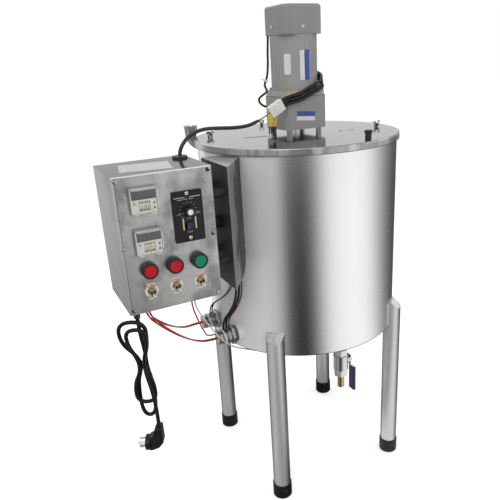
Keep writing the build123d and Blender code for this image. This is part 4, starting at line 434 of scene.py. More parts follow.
def controllerFinish(controller):
    # pale face under the cover, black window in its upper half, cream well round the wheels, grey case behind
    made = moulded("controllerGrey", (0.30, 0.30, 0.295), 0.36, 1400, 50, 0.06)
    x, y, z = made.axes((controller["x"], 0, 0))
    face = (y < controller["front"]) * (abs(x) < controller["half"])
    well = (y > controller["front"] + 0.2) * (abs(x) < controller["wellHalf"])
    for level in controller["levels"]:
        foot, middle, top = level - controller["half"], level + controller["sill"], level + controller["head"]
        made.over(face * made.between(z, foot, middle), (0.69, 0.69, 0.675))
        made.over(face * made.between(z, middle, top), (0.028, 0.028, 0.029), 0.22)
        made.over(well * made.between(z, level - controller["wellDeep"], level + 1.0), (0.80, 0.75, 0.58))
    return made


def knobFinish(knob):
    # black skirt with a white cap let into its front
    made = moulded("knobBlack", (0.012, 0.012, 0.013), 0.36, 1500, 60, 0.3)
    x, y, z = made.axes((knob["x"], 0, knob["z"]))
    made.over(((x * x + z * z) ** 0.5 < knob["cap"]) * (y < knob["front"]), (0.82, 0.82, 0.80), 0.30)
    return made


def rockerFinish(rocker):
    # nearly black navy with two pale blue dashes
    made = moulded("rockerNavy", (0.005, 0.007, 0.015), 0.30, 1500, 40, 0.2)
    x, y, z = made.axes((rocker["x"], 0, rocker["z"]))
    aside, up, high = rocker["dash"]
    dash = (abs(x) < aside) * (abs(abs(z) - up) < high)
    made.over(dash * (y < rocker["front"]), (0.02, 0.05, 0.16))
    return made


def headFinish(bands):
    # dark plated brass with turned grooves
    made = steel("headNickel", (0.34, 0.34, 0.335), 0.30, (1400, 60, 60), 0.16, 0.0, 0.4, 0.10, 70.0)
    x = made.axes()[0]
    ring = made.fraction((x - bands["start"]) / bands["pitch"])
    made.over(ring < bands["dark"], 0.035, 0.35)
    made.over((ring > bands["bright"][0]) * (ring < bands["bright"][1]), (0.62, 0.62, 0.61), 0.16)
    return made


def cableFinish(bare):
    # black sheath that stops short of the connector, past it the brown and yellow cores
    made = moulded("cableBlack", (0.010, 0.011, 0.013), 0.40, 900, 60, 0.3)
    brown = made.soft(made.noise(900.0, 1.0, (0.2, 1, 1)), 0.46, 0.52)
    made.over(made.axes()[0] > bare, made.mix(brown, (0.42, 0.24, 0.05), (0.13, 0.05, 0.02)))
    return made


def plugFinish(plug):
    # black moulding, with bright pins past the front face
    made = moulded("plugBlack", (0.006, 0.006, 0.006), 0.42, 900, 100, 0.25, 0.3)
    ahead = made.node("VectorMath", {0: made.point(plug["face"]), 1: plug["way"]}, 1, operation="DOT_PRODUCT")
    made.over(ahead > 0.0003, (0.72, 0.71, 0.68), 0.28, 1.0)
    return made


def coverFinish():
    # clear tray, seen mostly at its edges, with a faint haze
    made = Finish("clearCover", (0.92, 0.93, 0.93), 0.08)
    away = made.node("LayerWeight", {"Blend": 0.30}, out="Facing")
    made.set(Alpha=away * 0.34 + made.noise(90.0, 3.0) * 0.05 + 0.01)
    return made


lampRow = {"first": -284.25, "pitch": 43.7, "height": 611.0, "ribs": 44.0, "reds": 2.0,
           "face": 9.8, "red": (0.42, 0.004, 0.012), "green": (0.0, 0.19, 0.098)}
bezelBlack, lampLens = bezelFinish(lampRow), lensFinish(lampRow)
controllerGrey = controllerFinish({"x": -279.25, "levels": (729.2, 660.2), "half": 20.0, "front": -188.0,
                                   "sill": 2.6, "head": 18.6, "wellHalf": 11.0, "wellDeep": 18.0})
knobBlack = knobFinish({"x": -207.25, "z": 700.0, "cap": 4.7, "front": -196.6})
rockerNavy = rockerFinish({"x": -206.15, "z": 674.5, "front": -185.5, "dash": (1.1, 3.4, 0.9)})
headNickel = headFinish({"start": -135.4, "pitch": 8.6, "dark": 0.16, "bright": (0.52, 0.62)})
cableBlack = cableFinish(-4.0)
plugBlack = plugFinish({"face": (-331.13, -186.33, 285.0), "way": (-0.892, 0.452, 0.0)})
legendCream = moulded("legendCream", (0.80, 0.76, 0.64), 0.34, 1400, 30, 0.06)
# white for painted highlights on the covers' edges and painted glints on the lid's stitches
paintedHighlightWhite = moulded("paintedHighlightWhite", (0.86, 0.87, 0.87), 0.20, 1500, 20, 0.04)
clearCover = coverFinish()
print("finishes mixed")

corners = ("front_left", "front_right", "back_left", "back_right")
finishNodes = (
    (tankSteel, "jacket_shell"), (vesselSteel, "inner_vessel"), (hornSteel, "filler_horn"),
    (ductSteel, "wire_duct"), (lidSteel, "lid"), (postSteel, "standoffs"), (boxSteel, "control_box"),
    (turnedSteel, "outlet_pipe", "temperature_probes", "output_shaft", "stirrer", "countershaft", "motor_rotor"),
    (headNickel, "heaters", "heater_terminals"), (grommetRubber, "cable_grommet"), (plugBlack, "plug"),
    (panelSteel, "front_panel"), (blackPlastic, "cord_gland", "lid_knob"),
    (controllerGrey, "controller_upper", "controller_lower"), (plateBlack, "speed_plate"),
    (wheelCream, "thumbwheels_upper", "thumbwheels_lower"), (knobBlack, "speed_knob"), (rockerNavy, "run_rocker"),
    (bezelBlack, "lamp_bezels"), (lampLens, "lamp_lenses"), (bushMetal, "toggle_bodies"),
    (legendCream, "legend_plates"), (valveSteel, "valve_body"), (screwSteel, "valve_lever"),
    (gripBlue, "lever_grip"), (brass, "hose_nipple"),
    (gearboxGrey, "gearbox"), (motorGrey, "motor_housing"), (fanCoverGrey, "fan_cover"),
    (whitePlastic, "lead_connector"), (legSteel, *["leg_" + corner for corner in corners]),
    (footRubber, *["foot_" + corner for corner in corners]),
    (chrome, "valve_ball", "toggle_lever_left", "toggle_lever_middle", "toggle_lever_right"),
    (wingSteel, "panel_screws", "wing_screw_left", "wing_screw_right", "wing_screw_back"),
)
for finish, *names in finishNodes:
    for name in names:
        nodes[name].data.materials.clear()
        nodes[name].data.materials.append(finish.material)
print("nodes dressed:", sum(len(row) - 1 for row in finishNodes))


# A new piece gets its finish and the body it rides on
def onBody(piece, finish, body):
    piece.data.materials.append(finish.material)
    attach(piece, body)
    return piece


def meshPoints(mesh):
    points = np.zeros(len(mesh.vertices) * 3)
    mesh.vertices.foreach_get("co", points)
    return points.reshape(-1, 3)


# Cords and wires: one smooth spline each, through the route's points; a point's radius also widens the
# curve's bounds, so it is kept at a millimetre and the bevel scales it up to the cord's half thickness
pointRadius = 0.001


def runCord(name, points, thick, finish, body, thins=()):
    curve = bpy.data.curves.new(name, "CURVE")
    curve.dimensions, curve.resolution_u = "3D", 10
    curve.bevel_depth, curve.bevel_resolution, curve.use_fill_caps = thick * mm / 2 / pointRadius, 4, True
    line = curve.splines.new("NURBS")
    line.points.add(len(points) - 1)
    line.points.foreach_set("co", (np.c_[np.array(points) * mm, np.ones(len(points))]).ravel())
    radii = np.full(len(points), pointRadius)
    radii[len(points) - len(thins):] *= thins  # the last points carry a smaller section
    line.points.foreach_set("radius", radii)
    line.order_u, line.use_endpoint_u = 3, True
    return onBody(placed(name, curve), finish, body)


def routeLine(piece):
    # the bare spline as points in metres, for what sits along it
    depth = piece.data.bevel_depth
    piece.data.bevel_depth = 0.0
    line = bpy.data.meshes.new_from_object(piece)
    piece.data.bevel_depth = depth
    spots = meshPoints(line)
    bpy.data.meshes.remove(line)
    return spots


def routeLength(piece):
    return float(np.linalg.norm(np.diff(routeLine(piece), axis=0), axis=1).sum())


mainsHank = {
    "gland": (-312.25, -169.0), "right": (0.892, -0.452), "near": (-0.452, -0.892), "start": 0.5, "waist": 437.0,
    "thick": 7.0, "down": [(-0.5, 0, 103.2), (-0.5, 0, 63), (4.6, 0, 23)],
    "loops": [(4.6, 0, -11), (13, 8, -34), (13, 8, -104), (-13, 8, -104), (-13, 8, -34), (-4.6, 8, -11),
              (-4.6, 8, 14), (-34, 8, 44), (-34, 8, 83), (13, 8, 83), (13, 8, 40), (4.6, 8, 14),
              (4.6, 8, -11), (17, 16, -34), (17, 16, -71), (-17, 16, -71), (-17, 16, -34), (-4.6, 16, -11),
              (-4.6, 16, 14), (-20, 16, 44), (-20, 16, 72), (13, 16, 72), (13, 16, 40), (4.6, 16, 14)],
    "tail": [(4.6, 16, -11), (14, 24, -45), (17, 24, -85), (17, 24, -117)]}


def hankPoints(hank):
    # across and near are measured from the gland in the plane of the hank, height from its waist
    local = np.array(hank["down"] + hank["loops"] + hank["tail"], float)
    plan = (np.array(hank["gland"]) + np.outer(local[:, 0] + hank["start"], hank["right"])
            + np.outer(local[:, 1], hank["near"]))
    return np.c_[plan, local[:, 2] + hank["waist"]]


mainsCord = runCord("mainsCord", hankPoints(mainsHank), mainsHank["thick"], cordBlack, "frame")
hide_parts("mains_cord")

wrapFoot = 804.0
spareSleeve = moulded("spareSleeve", (0.60, 0.46, 0.09), 0.42, 900, 60, 0.1)
spareSleeve.over(spareSleeve.axes()[2] < wrapFoot, (0.012, 0.012, 0.013))  # bare cores below the wrap
motorSleeve = [(159.56, -7.07, 886.4), (158.4, -21.88, 883.9), (154.01, -34.97, 877.9), (146.35, -52.5, 871.17),
               (121.35, -52, 861.67), (93.35, -52, 849.17), (63.7, -52, 845.33), (53.1, -52, 839.7)]
# from one sleeve to the next, aside and up: the flat of three lies askew at the connector
sleeveStep = np.array([(0, 0, 6.6)] * 3 + [(-3.1, 0, 5.83)] * 5)
lidLeads = {
    "motorCable": (7.0, cableBlack, "cord_black", [
        (-177.75, -77, 575), (-177.75, -77, 764), (-176.75, -77, 782), (-167.55, -76, 797), (-150.34, -73.75, 810),
        (-123.73, -69.5, 816), (-89.51, -64.75, 813.5), (-58.9, -60.5, 810.5), (-28.29, -56.25, 811),
        (-6, -53.2, 817.5), (-2, -52.6, 819), (12, -52, 825.5), (21.75, -52, 830.5)]),
    "earthLead": (2.2, earthYellow, "wire_mixed", [
        (89.25, -48.6, 866.5), (75.25, -50, 864), (56.37, -48, 859.1), (45.78, -48, 853.47)]),
    "fanLead": (4.5, leadBlack, "cord_black", [
        (63.21, 21.47, 973), (60.03, 20.04, 945), (58.82, 18.21, 917), (53.71, 15.14, 894), (44.25, 12, 880),
        (44.25, -4, 868), (28.25, -10, 862), (16.25, -14, 855), (19.25, -22, 844), (33.88, -32.5, 838.01),
        (35.88, -44.5, 838.01)]),
    "spareLead": (6.0, spareSleeve, "wire_mixed", [
        (36.33, -52, 825.8), (33.97, -52, 815.2), (31.17, -52, 802.2), (29.47, -52, 786.2)]),
}
for number in range(3):
    route = np.array(motorSleeve) + number * sleeveStep
    lidLeads["motorSleeve%d" % number] = (6.0, leadBlack, "cord_black", route.tolist())
lidCords = {}
for name, (thick, finish, slot, route) in lidLeads.items():
    thins = (0.42, 0.42, 0.42) if name == "motorCable" else ()  # its cores past the sheath
    lidCords[name] = runCord(name, route, thick, finish, "lid_unit", thins)
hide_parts("motor_cable")
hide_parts("motor_leads")


# Wires between box, duct and heaters
def slung(first, last, bow, between=4):
    # straight from first to last, pushed out by bow times t(1 - t), where t runs from 0 to 1
    t = np.linspace(0, 1, between + 2)[:, None]
    return [*(np.array(first) + t * np.subtract(last, first) + t * (1 - t) * np.array(bow))]


def withEnds(lead, hang, tail):
    # a straight start and a straight end for a slung wire
    return [hang[0] + lead, *hang, hang[-1] + tail]


boxDrop, headReach = (0, 0, 24), (20, 0, 0)
heaterRuns = {
    "heaterWireFarLeft": ((-296.25, -163.5, 522), (-161.75, -2.5, 400), (0, -24, -48)),
    "heaterWireFarRight": ((-291.25, -163.5, 522), (-161.75, -7.5, 400), (0, -24, -48)),
    "heaterWireNearLeft": ((-296.25, -168.5, 522), (-155.44, -69.5, 389), (0, -64, -40)),
    "heaterWireNearRight": ((-291.25, -168.5, 522), (-155.44, -74.5, 389), (0, -64, -40))}
ductHeads = {"far": ((-126.25, -138, 548), (-123.25, -5, 435.3), (80, 0, -24)),
             "near": ((-116.05, -138, 548), (-120.94, -72, 424.3), (64, 0, -24)),
             "lead": (0, -2, 32), "tail": (0, 0, -20), "collar": 2.0}


def fromDuct(head, step=0.0):
    # a lead beside the first one ends on the head's collar, so it ends higher
    first, last, bow = ductHeads[head]
    rise = ductHeads["collar"] if step else 0.0
    hang = slung(np.add(first, (step, 0, 0)), np.add(last, (step, 0, rise)), bow, 3)
    return withEnds(ductHeads["lead"], hang, ductHeads["tail"])


probeEdge, probeFoot = (-95.44, -62, 350.5), (29.25, -95, 309)  # at the tank's edge and under the tank
probeHang = slung((-209.25, -172, 522), probeEdge, (0, 0, -56)) + slung(probeEdge, probeFoot, (0, 48, -24), 2)[1:]
ductRuns = {
    "probeLead": (3.0, wireWhite, [*withEnds(boxDrop, probeHang, (35, 0, 0)), (64.25, -95, 344)]),
    "controlLead": (3.0, wireRed, withEnds(
        boxDrop, slung((-214.25, -172, 522), (-155.44, -72, 399), (0, -16, -40), 3), headReach)),
    "ductLeadFarLeft": (3.0, wireDarkRed, fromDuct("far")),
    "ductLeadFarRight": (3.0, wireDarkRed, fromDuct("far", 4.6)),
    "ductLeadLeft": (5.0, leadBlack, fromDuct("near")),
    "ductLeadMiddle": (5.0, leadBlack, fromDuct("near", 6.6)),
    "ductLeadRight": (3.0, wireDarkRed, fromDuct("near", 12.2)),
}
heaterCords = {name: runCord(name, withEnds(boxDrop, slung(*run), headReach), 3.0, wireRed, "frame")
               for name, run in heaterRuns.items()}
ductCords = {name: runCord(name, route, thick, finish, "frame")
             for name, (thick, finish, route) in ductRuns.items()}
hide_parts("heater_wires")
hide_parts("wire_bundle")


def declare(piece):
    tuple(routeLine(piece)[0])
    round(routeLength(piece), 3)
    2 * pointRadius * piece.data.bevel_depth


declare(mainsCord)
for name, piece in lidCords.items():
    if name == "motorCable":
        declare(piece)
    elif name == "spareLead":
        declare(piece)
    else:
        declare(piece)
for piece in (*heaterCords.values(), *ductCords.values()):
    declare(piece)
print("cords run:", 1 + len(lidCords) + len(heaterCords) + len(ductCords),
      "mains length", round(routeLength(mainsCord), 3))


# Shapes: rings of points joined row by row, the ends closed flat
def loops(rings, joined=False):
    rings = np.asarray(rings, float)
    rows, count = rings.shape[:2]
    row = np.arange(rows if joined else rows - 1)[:, None]
    step = np.arange(count)[None, :]
    after, onward = (row + 1) % rows, (step + 1) % count
    quads = np.stack([row * count + step, row * count + onward, after * count + onward, after * count + step], -1)
    faces = quads.reshape(-1, 4).tolist()
    if not joined:
        faces += [list(range(count))[::-1], list(range((rows - 1) * count, rows * count))]
    return rings.reshape(-1, 3), faces


# A circle of the given radius, and a rectangle whose corners are quarter circles
def circle(radius, count=32):
    turn = np.arange(count) * 2 * np.pi / count
    return radius * np.c_[np.cos(turn), np.sin(turn)]


def roundedRectangle(width, height, corner, steps=5):
    turn = np.linspace(0, np.pi / 2, steps)[None, :] + np.arange(4)[:, None] * np.pi / 2
    middle = np.array([[1, 1], [-1, 1], [-1, -1], [1, -1]]) * (width / 2 - corner, height / 2 - corner)
    return (middle[:, None] + corner * np.stack([np.cos(turn), np.sin(turn)], -1)).reshape(-1, 2)


# Outlines stacked at heights make a closed solid
def stacked(outlines, heights):
    return loops([np.c_[flat, np.full(len(flat), high)] for flat, high in zip(outlines, heights)])


# Low round and square pads, their upper edge broken by a small slope
def roundPad(radius, thick, edge=0.3, count=32):
    full = circle(radius, count)
    return stacked([full, full, circle(radius - edge, count)], [0, thick - edge, thick])


def squarePad(width, height, thick, corner=0.2, edge=0.05):
    full = roundedRectangle(width, height, corner, 3)
    top = roundedRectangle(width - 2 * edge, height - 2 * edge, corner, 3)
    return stacked([full, full, top], [0, thick - edge, thick])


# A section carried along a path: its first axis lies square to the path and to up
def carried(path, section, up, joined=False):
    path, up = np.asarray(path, float), np.asarray(up, float)
    along = np.roll(path, -1, 0) - np.roll(path, 1, 0) if joined else np.gradient(path, axis=0)
    along /= np.linalg.norm(along, axis=1, keepdims=True)
    side = np.cross(along, np.broadcast_to(up, along.shape))
    side /= np.linalg.norm(side, axis=1, keepdims=True)
    other = np.cross(along, side)
    section = np.broadcast_to(np.asarray(section, float), (len(path), *np.shape(section)[-2:]))
    rings = path[:, None] + section[..., :1] * side[:, None] + section[..., 1:] * other[:, None]
    return loops(rings, joined=joined)


# A shape drawn about its own origin is set down with its width along across and its top towards out
def setAt(shape, origin, across=(1, 0, 0), out=(0, -1, 0)):
    points, faces = shape
    across, out = np.array(across, float), np.array(out, float)
    across, out = across / np.linalg.norm(across), out / np.linalg.norm(out)
    return np.asarray(origin, float) + points @ np.array([across, np.cross(out, across), out]), faces


# Several shapes as one, and a shape or a list of shapes made a piece of one body
def together(shapes):
    counts = np.cumsum([0] + [len(points) for points, _ in shapes])
    return (np.concatenate([points for points, _ in shapes]),
            [[i + int(base) for i in face] for base, (_, faces) in zip(counts, shapes) for face in faces])


def addPiece(name, shape, finish, body, crease=35.0):
    points, faces = together(shape) if isinstance(shape, list) else shape
    mesh = bpy.data.meshes.new(name)
    mesh.from_pydata((points * mm).tolist(), [], faces)
    shell = bmesh.new()
    shell.from_mesh(mesh)
    bmesh.ops.recalc_face_normals(shell, faces=shell.faces)
    shell.to_mesh(mesh)
    shell.free()
    mesh.shade_smooth()
    mesh.set_sharp_from_angle(angle=math.radians(crease))
    return onBody(placed(name, mesh), finish, body)


# Text made a mesh about its own middle
def lettering(word, height, thick=0.25, bold=0.0):
    curve = bpy.data.curves.new(word, "FONT")
    curve.offset = bold * height
    curve.body, curve.size, curve.extrude, curve.resolution_u = word, height, thick / 2, 3
    curve.align_x, curve.align_y = "CENTER", "CENTER"
    holder = bpy.data.objects.new(word, curve)
    mesh = bpy.data.meshes.new_from_object(holder)
    points, faces = meshPoints(mesh), [list(face.vertices) for face in mesh.polygons]
    bpy.data.meshes.remove(mesh)
    bpy.data.objects.remove(holder)
    bpy.data.curves.remove(curve)
    return points, faces


# Flat pads in one plane: each row gives width, height, step aside and rise from the middle
def pads(rows, middle, thick):
    x, y, z = middle
    return [setAt(squarePad(wide, high, thick), (x + aside, y, z + rise)) for wide, high, aside, rise in rows]


# Control panel: clear covers, figures, scales and legends
controllers = {
    "x": -279.25, "levels": {"upper": 729.2, "lower": 660.2}, "front": -189.5, "face": -189.4,
    "cover": (45.0, 43.5, 4.0, 4.2, 0.9),  # width, height, corner, depth, wall
    "wheels": {"drop": 8.5, "y": -181.4, "radius": 7.5, "pitch": 6.0, "figure": 3.9},
    "shown": {"upper": (0, 8, 5), "lower": (0, 8, 0)},
    # rows for pads: painted highlights along the cover's edges, cream frame of the wheels' well, red dashes below
    # the wheels
    "edges": ((41.0, 0.9, 0, 20.6), (38.0, 0.7, 0, 18.4), (0.8, 36.0, -21.6, 0), (0.7, 30.0, 21.4, 3.0),
              (7.0, 0.8, -15.0, -20.8), (9.0, 0.8, 14.0, -20.8)), "edgeOut": 4.05,
    "well": ((24.0, 3.2, 0, -17.6), (24.0, 1.2, 0, 0.6), (2.0, 17.0, -11.0, -8.5), (2.0, 17.0, 11.0, -8.5)),
    "dashes": ((2.4, 1.0, -6, -17.6), (2.4, 1.0, 0, -17.6), (2.4, 1.0, 6, -17.6)),
    "marks": {"aside": 16.2, "letter": 5.6, "dot": 1.7, "arrow": 2.8},
}


def coverShape(width, height, corner, deep, wall):
    # a tray open towards the panel: inside floor, inside wall, foot, outside wall, front
    inner = roundedRectangle(width - 2 * wall, height - 2 * wall, corner - wall)
    outer = roundedRectangle(width, height, corner)
    front = roundedRectangle(width - 1.6, height - 1.6, corner - 0.8)
    return stacked([inner, inner, outer, outer, front], [deep - wall, 0, 0, deep - 0.8, deep])


def wheelFigures(wheels, x, level, first):
    # ten figures round each wheel, turned a tenth of a turn apart
    shapes = []
    for number, start in enumerate(first):
        hub = np.array([x + (number - 1) * wheels["pitch"], wheels["y"], level - wheels["drop"]])
        for digit in range(10):
            turn = (digit - start) * math.pi / 5
            out = np.array([0, -math.cos(turn), math.sin(turn)])
            figure = lettering(str(digit), wheels["figure"], 0.25, 0.03)
            shapes.append(setAt(figure, hub + out * wheels["radius"], out=out))
    return shapes


def faceMarks(marks, x, face, level):
    # a letter at the left, a dot and a three-sided arrow at the right
    right = x + marks["aside"]
    arrow = stacked([circle(marks["arrow"], 3)] * 2, [0, 0.3])
    return [setAt(lettering("C", marks["letter"], 0.25, 0.04), (x - marks["aside"], face, level - 3.0)),
            setAt(roundPad(marks["dot"], 0.3, 0.1, 16), (right, face, level - 4.6)),
            setAt(arrow, (right, face, level - 13.0), (0, 0, 1))]


def dressController(name, level):
    # the cover and what is seen through it
    which, x, face = name.title(), controllers["x"], controllers["face"]
    addPiece("coverOf" + which, setAt(coverShape(*controllers["cover"]), (x, face, level)), clearCover,
             "frame")
    # painted highlights: white pads along the cover's edges
    edges = pads(controllers["edges"], (x, controllers["front"] - controllers["edgeOut"], level), 0.3)
    addPiece("coverRimsOf" + which, edges, paintedHighlightWhite, "frame")
    figures = wheelFigures(controllers["wheels"], x, level, controllers["shown"][name])
    addPiece("figuresOf" + which, figures, markBrown, "wheels_" + name)
    well = pads(controllers["well"], (x, face, level), 0.3)
    addPiece("wellFrameOf" + which, well, wheelCream, "frame")
    marks = faceMarks(controllers["marks"], x, face, level)
    addPiece("faceMarksOf" + which, marks, markBlack, "frame")
    dashes = pads(controllers["dashes"], (x, face - 0.3, level), 0.2)
    addPiece("wellDashesOf" + which, dashes, markRed, "frame")


for name, level in controllers["levels"].items():
    dressController(name, level)

speedPlate = {
    "x": -207.25, "front": -184.9, "knobZ": 700.0, "lineZ": 723.4, "ink": 0.15, "wordSize": 3.6,
    "words": {"LOW": (-223.2, 695.6), "HIGH": (-190.9, 694.6), "RUN": (-206.8, 687.6), "STOP": (-206.8, 663.4)},
    # rows for pads: two lines at the top, a broken line below them
    "lines": ((19.0, 1.0, -13.2, 0), (19.0, 1.0, 13.4, 0)),
    "note": ((9, 0.9, -12.5, -3.4), (7, 0.9, -3.0, -3.4), (8, 0.9, 6.5, -3.4)),
    "ticks": {"radius": 14.6, "size": (3.0, 0.8), "count": 11, "first": 215.0, "last": -35.0},
    "bars": ((-217.6, 678.4), (-195.9, 678.4)), "barSize": (2.6, 20.5, 0.6, 0.4, 0.2),
    "stroke": {"x": -213.6, "z": 695.2, "size": (7.5, 0.9), "way": (-0.70, 0, 0.71)},
    "screws": (729.8, 653.4), "screwHead": (3.2, 1.6, 0.7),
}


def dressSpeedPlate(plate):
    # everything lies flat on the plate, and the ticks stand on a circle round the knob
    face, ink = plate["front"], plate["ink"]
    top, knob = (plate["x"], face, plate["lineZ"]), np.array([plate["x"], face, plate["knobZ"]])
    tick, stroke = plate["ticks"], plate["stroke"]
    turns = np.radians(np.linspace(tick["first"], tick["last"], tick["count"]))
    ways = np.c_[np.cos(turns), np.zeros(tick["count"]), np.sin(turns)]
    for name, finish, shapes in (
            ("plateWords", markCream, [setAt(lettering(word, plate["wordSize"]), (x, face, z))
                                       for word, (x, z) in plate["words"].items()]),
            ("plateLines", markWhite, pads(plate["lines"], top, ink)),
            ("plateNote", markCream, pads(plate["note"], top, ink)),
            ("plateTicks", markGrey, [setAt(squarePad(*tick["size"], ink), knob + way * tick["radius"], way)
                                      for way in ways]),
            ("plateBars", goldBar, [setAt(squarePad(*plate["barSize"]), (x, face, z)) for x, z in plate["bars"]]),
            ("plateStroke", markWhite, setAt(squarePad(*stroke["size"], ink), (stroke["x"], face, stroke["z"]),
                                             stroke["way"]))):
        addPiece(name, shapes, finish, "frame")
    heads = [setAt(roundPad(*plate["screwHead"]), (plate["x"], face + 0.1, z)) for z in plate["screws"]]
    addPiece("plateScrews", heads, screwSteel, "frame")


dressSpeedPlate(speedPlate)

panelScrews = {"columns": (-319.3, -165.7), "rows": (764.0, 653.0, 542.0), "top": -184.68, "foot": -182.45,
               "slot": (3.8, 0.9, 0.12), "ways": ((0.8, 0, 0.6), (-0.6, 0, 0.8)), "shade": (3.9, 0.4, 0.15)}
screwSpots = [(x, z) for x in panelScrews["columns"] for z in panelScrews["rows"]]
slotSpots = [(x, panelScrews["top"], z) for x, z in screwSpots]
slotSpots += [(speedPlate["x"], speedPlate["front"] - 1.48, z) for z in speedPlate["screws"]]
slots = [setAt(squarePad(*panelScrews["slot"]), spot, way) for spot in slotSpots for way in panelScrews["ways"]]
addPiece("screwSlots", slots, markBlack, "frame")
shades = [setAt(roundPad(*panelScrews["shade"]), (x, panelScrews["foot"], z)) for x, z in screwSpots]
addPiece("screwShade", shades, markBlack, "frame")

legends = {"places": (-284.25, -240.55, -196.85), "z": 573.0, "front": -183.45,
           "words": {"ON": (markRed, 8.4, 9.2), "OFF": (markBlack, 7.6, -9.8)}}  # finish, size, rise
for word, (finish, size, rise) in legends["words"].items():
    words = [setAt(lettering(word, size, 0.25, 0.03), (x, legends["front"], legends["z"] + rise))
             for x in legends["places"]]
    addPiece("legend" + word.title(), words, finish, "frame")

boxLabel = {"middle": (-254.0, -119.0, 769.95), "size": (86.0, 72.0, 0.25, 2.0), "turn": math.radians(-11.0)}
alongLabel = (math.cos(boxLabel["turn"]), math.sin(boxLabel["turn"]), 0)
addPiece("boxLabel", setAt(squarePad(*boxLabel["size"]), boxLabel["middle"], alongLabel, (0, 0, 1)),
         filmPale, "frame")
print("panel fitted")


# Gear motor: bare labels, screws, earth ring, wrapped spare cores
def curvedLabel(radius, thick, azimuths, heights, count=12):
    # a thin strip bent round the motor: four corners carried from one azimuth to the other
    turns = np.radians(np.linspace(*azimuths, count))
    low, high = heights
    rings = []
    for reach, height in ((radius, low), (radius + thick, low), (radius + thick, high), (radius, high)):
        rings.append(np.c_[tankX + reach * np.cos(turns), reach * np.sin(turns), np.full(count, height)])
    return loops(np.stack(rings, 1))


# each strip by its two azimuths in degrees and its two heights
motorLabels = {"radius": 47.4, "thick": 0.4, "strips": {
    "Small": (labelWhite, (-143.5, -127.0), (899.2, 937.5)),
    "White": (labelWhite, (-105.0, -93.5), (887.6, 943.6)),
    "Blue": (labelBlue, (-93.5, -79.8), (887.6, 943.6))}}
for name, (finish, azimuths, heights) in motorLabels["strips"].items():
    strip = curvedLabel(motorLabels["radius"], motorLabels["thick"], azimuths, heights)
    addPiece("motorLabel" + name, strip, finish, "lid_unit")

gearLabel = {"middle": (107.3, -46.95, 817.0), "lean": math.radians(-4.6),
             "wide": 43.0, "blue": 9.6, "white": 8.6}
across = np.array([math.cos(gearLabel["lean"]), 0, math.sin(gearLabel["lean"])])
upward = np.array([-across[2], 0, across[0]])
for name, finish, side in (("blue", labelBlue, 0.5), ("white", labelWhite, -0.5)):
    strip = squarePad(gearLabel["wide"], gearLabel[name], 0.3)
    spot = np.array(gearLabel["middle"]) + upward * side * gearLabel[name]
    addPiece("gearLabel" + name.title(), setAt(strip, spot, across), finish, "lid_unit")


def capScrew(radius, high):
    # round head with a socket sunk in its top
    sides = (radius, radius, radius - 0.5, radius * 0.55, radius * 0.5)
    return stacked([circle(side, 24) for side in sides], [0, high - 0.5, high, high, high * 0.4])


flangeCaps = {"reach": 36.0, "z": 867.9, "radius": 4.2, "high": 5.2}
for name, side, finish in (("Left", -1, copperCap), ("Right", 1, screwSteel)):
    reach, cap = flangeCaps["reach"], capScrew(flangeCaps["radius"], flangeCaps["high"])
    caps = [setAt(cap, (tankX + side * reach, y, flangeCaps["z"]), (1, 0, 0), (0, 0, 1)) for y in (-reach, reach)]
    addPiece("flangeCaps" + name, caps, finish, "lid_unit")

# each fan cover screw by its place, the way of its slot and the way it faces
fanScrews = {"head": (3.4, 1.5, 0.7), "slot": (4.2, 1.0, 0.12), "slotUp": 1.45, "places": (
    ((106.1, -45.9, 986.0), (1, 0, 0), (0, -1, 0)), ((106.1, 45.9, 986.0), (-1, 0, 0), (0, 1, 0)),
    ((63.35, 5.0, 988.0), (0, -1, 0), (-1, 0, 0)), ((155.15, -5.0, 988.0), (0, 1, 0), (1, 0, 0)))}
heads = [setAt(roundPad(*fanScrews["head"]), *place) for place in fanScrews["places"]]
addPiece("fanScrews", heads, screwSteel, "lid_unit")
slots = [setAt(squarePad(*fanScrews["slot"]), np.array(spot) + np.array(out) * fanScrews["slotUp"], way, out)
         for spot, way, out in fanScrews["places"]]
addPiece("fanScrewSlots", slots, markBlack, "lid_unit")

earthRing = {"middle": (91.6, -48.4, 867.4), "radius": 2.6, "thick": 0.9, "plane": ((1, 0, 0.3), (0, 0, 1))}
ringPath = circle(earthRing["radius"], 24) @ np.array(earthRing["plane"]) + earthRing["middle"]
addPiece("earthRing", carried(ringPath, circle(earthRing["thick"], 8), (0, 1, 0), True),
         brass, "lid_unit")


def wrappedCores(wrap):
    # an oval section carried down, swelling and pinching a little where it is taped
    height = np.linspace(0, 1, 17)
    path = np.array(wrap["top"]) + np.outer(height, np.array(wrap["foot"]) - wrap["top"])
    swell = 1.0 + 0.07 * np.sin(height * 22.0) - 0.35 * (np.abs(height - 0.5) * 2) ** 8
    oval = circle(1.0, 28) * wrap["half"]
    return carried(path, swell[:, None, None] * oval[None], (0, -1, 0))


coreWrap = {"top": (22.0, -53.0, 828.5), "foot": (21.5, -53.0, wrapFoot), "half": (7.4, 4.6)}
addPiece("coreWrap", wrappedCores(coreWrap), sleeveYellow, "lid_unit")
coreEnds = {"x": 18.5, "pitch": 3.4, "y": -53, "top": 805.0, "long": 15.0, "splay": 0.06}
tail = stacked([circle(1.3, 12), circle(1.2, 12)], [0, coreEnds["long"]])
tails = [setAt(tail, (coreEnds["x"] + coreEnds["pitch"] * n, coreEnds["y"], coreEnds["top"]), (1, 0, 0),
               (coreEnds["splay"] * n, 0.05, -1)) for n in range(3)]
addPiece("coreEnds", tails, leadBlack, "lid_unit")
print("motor fitted")


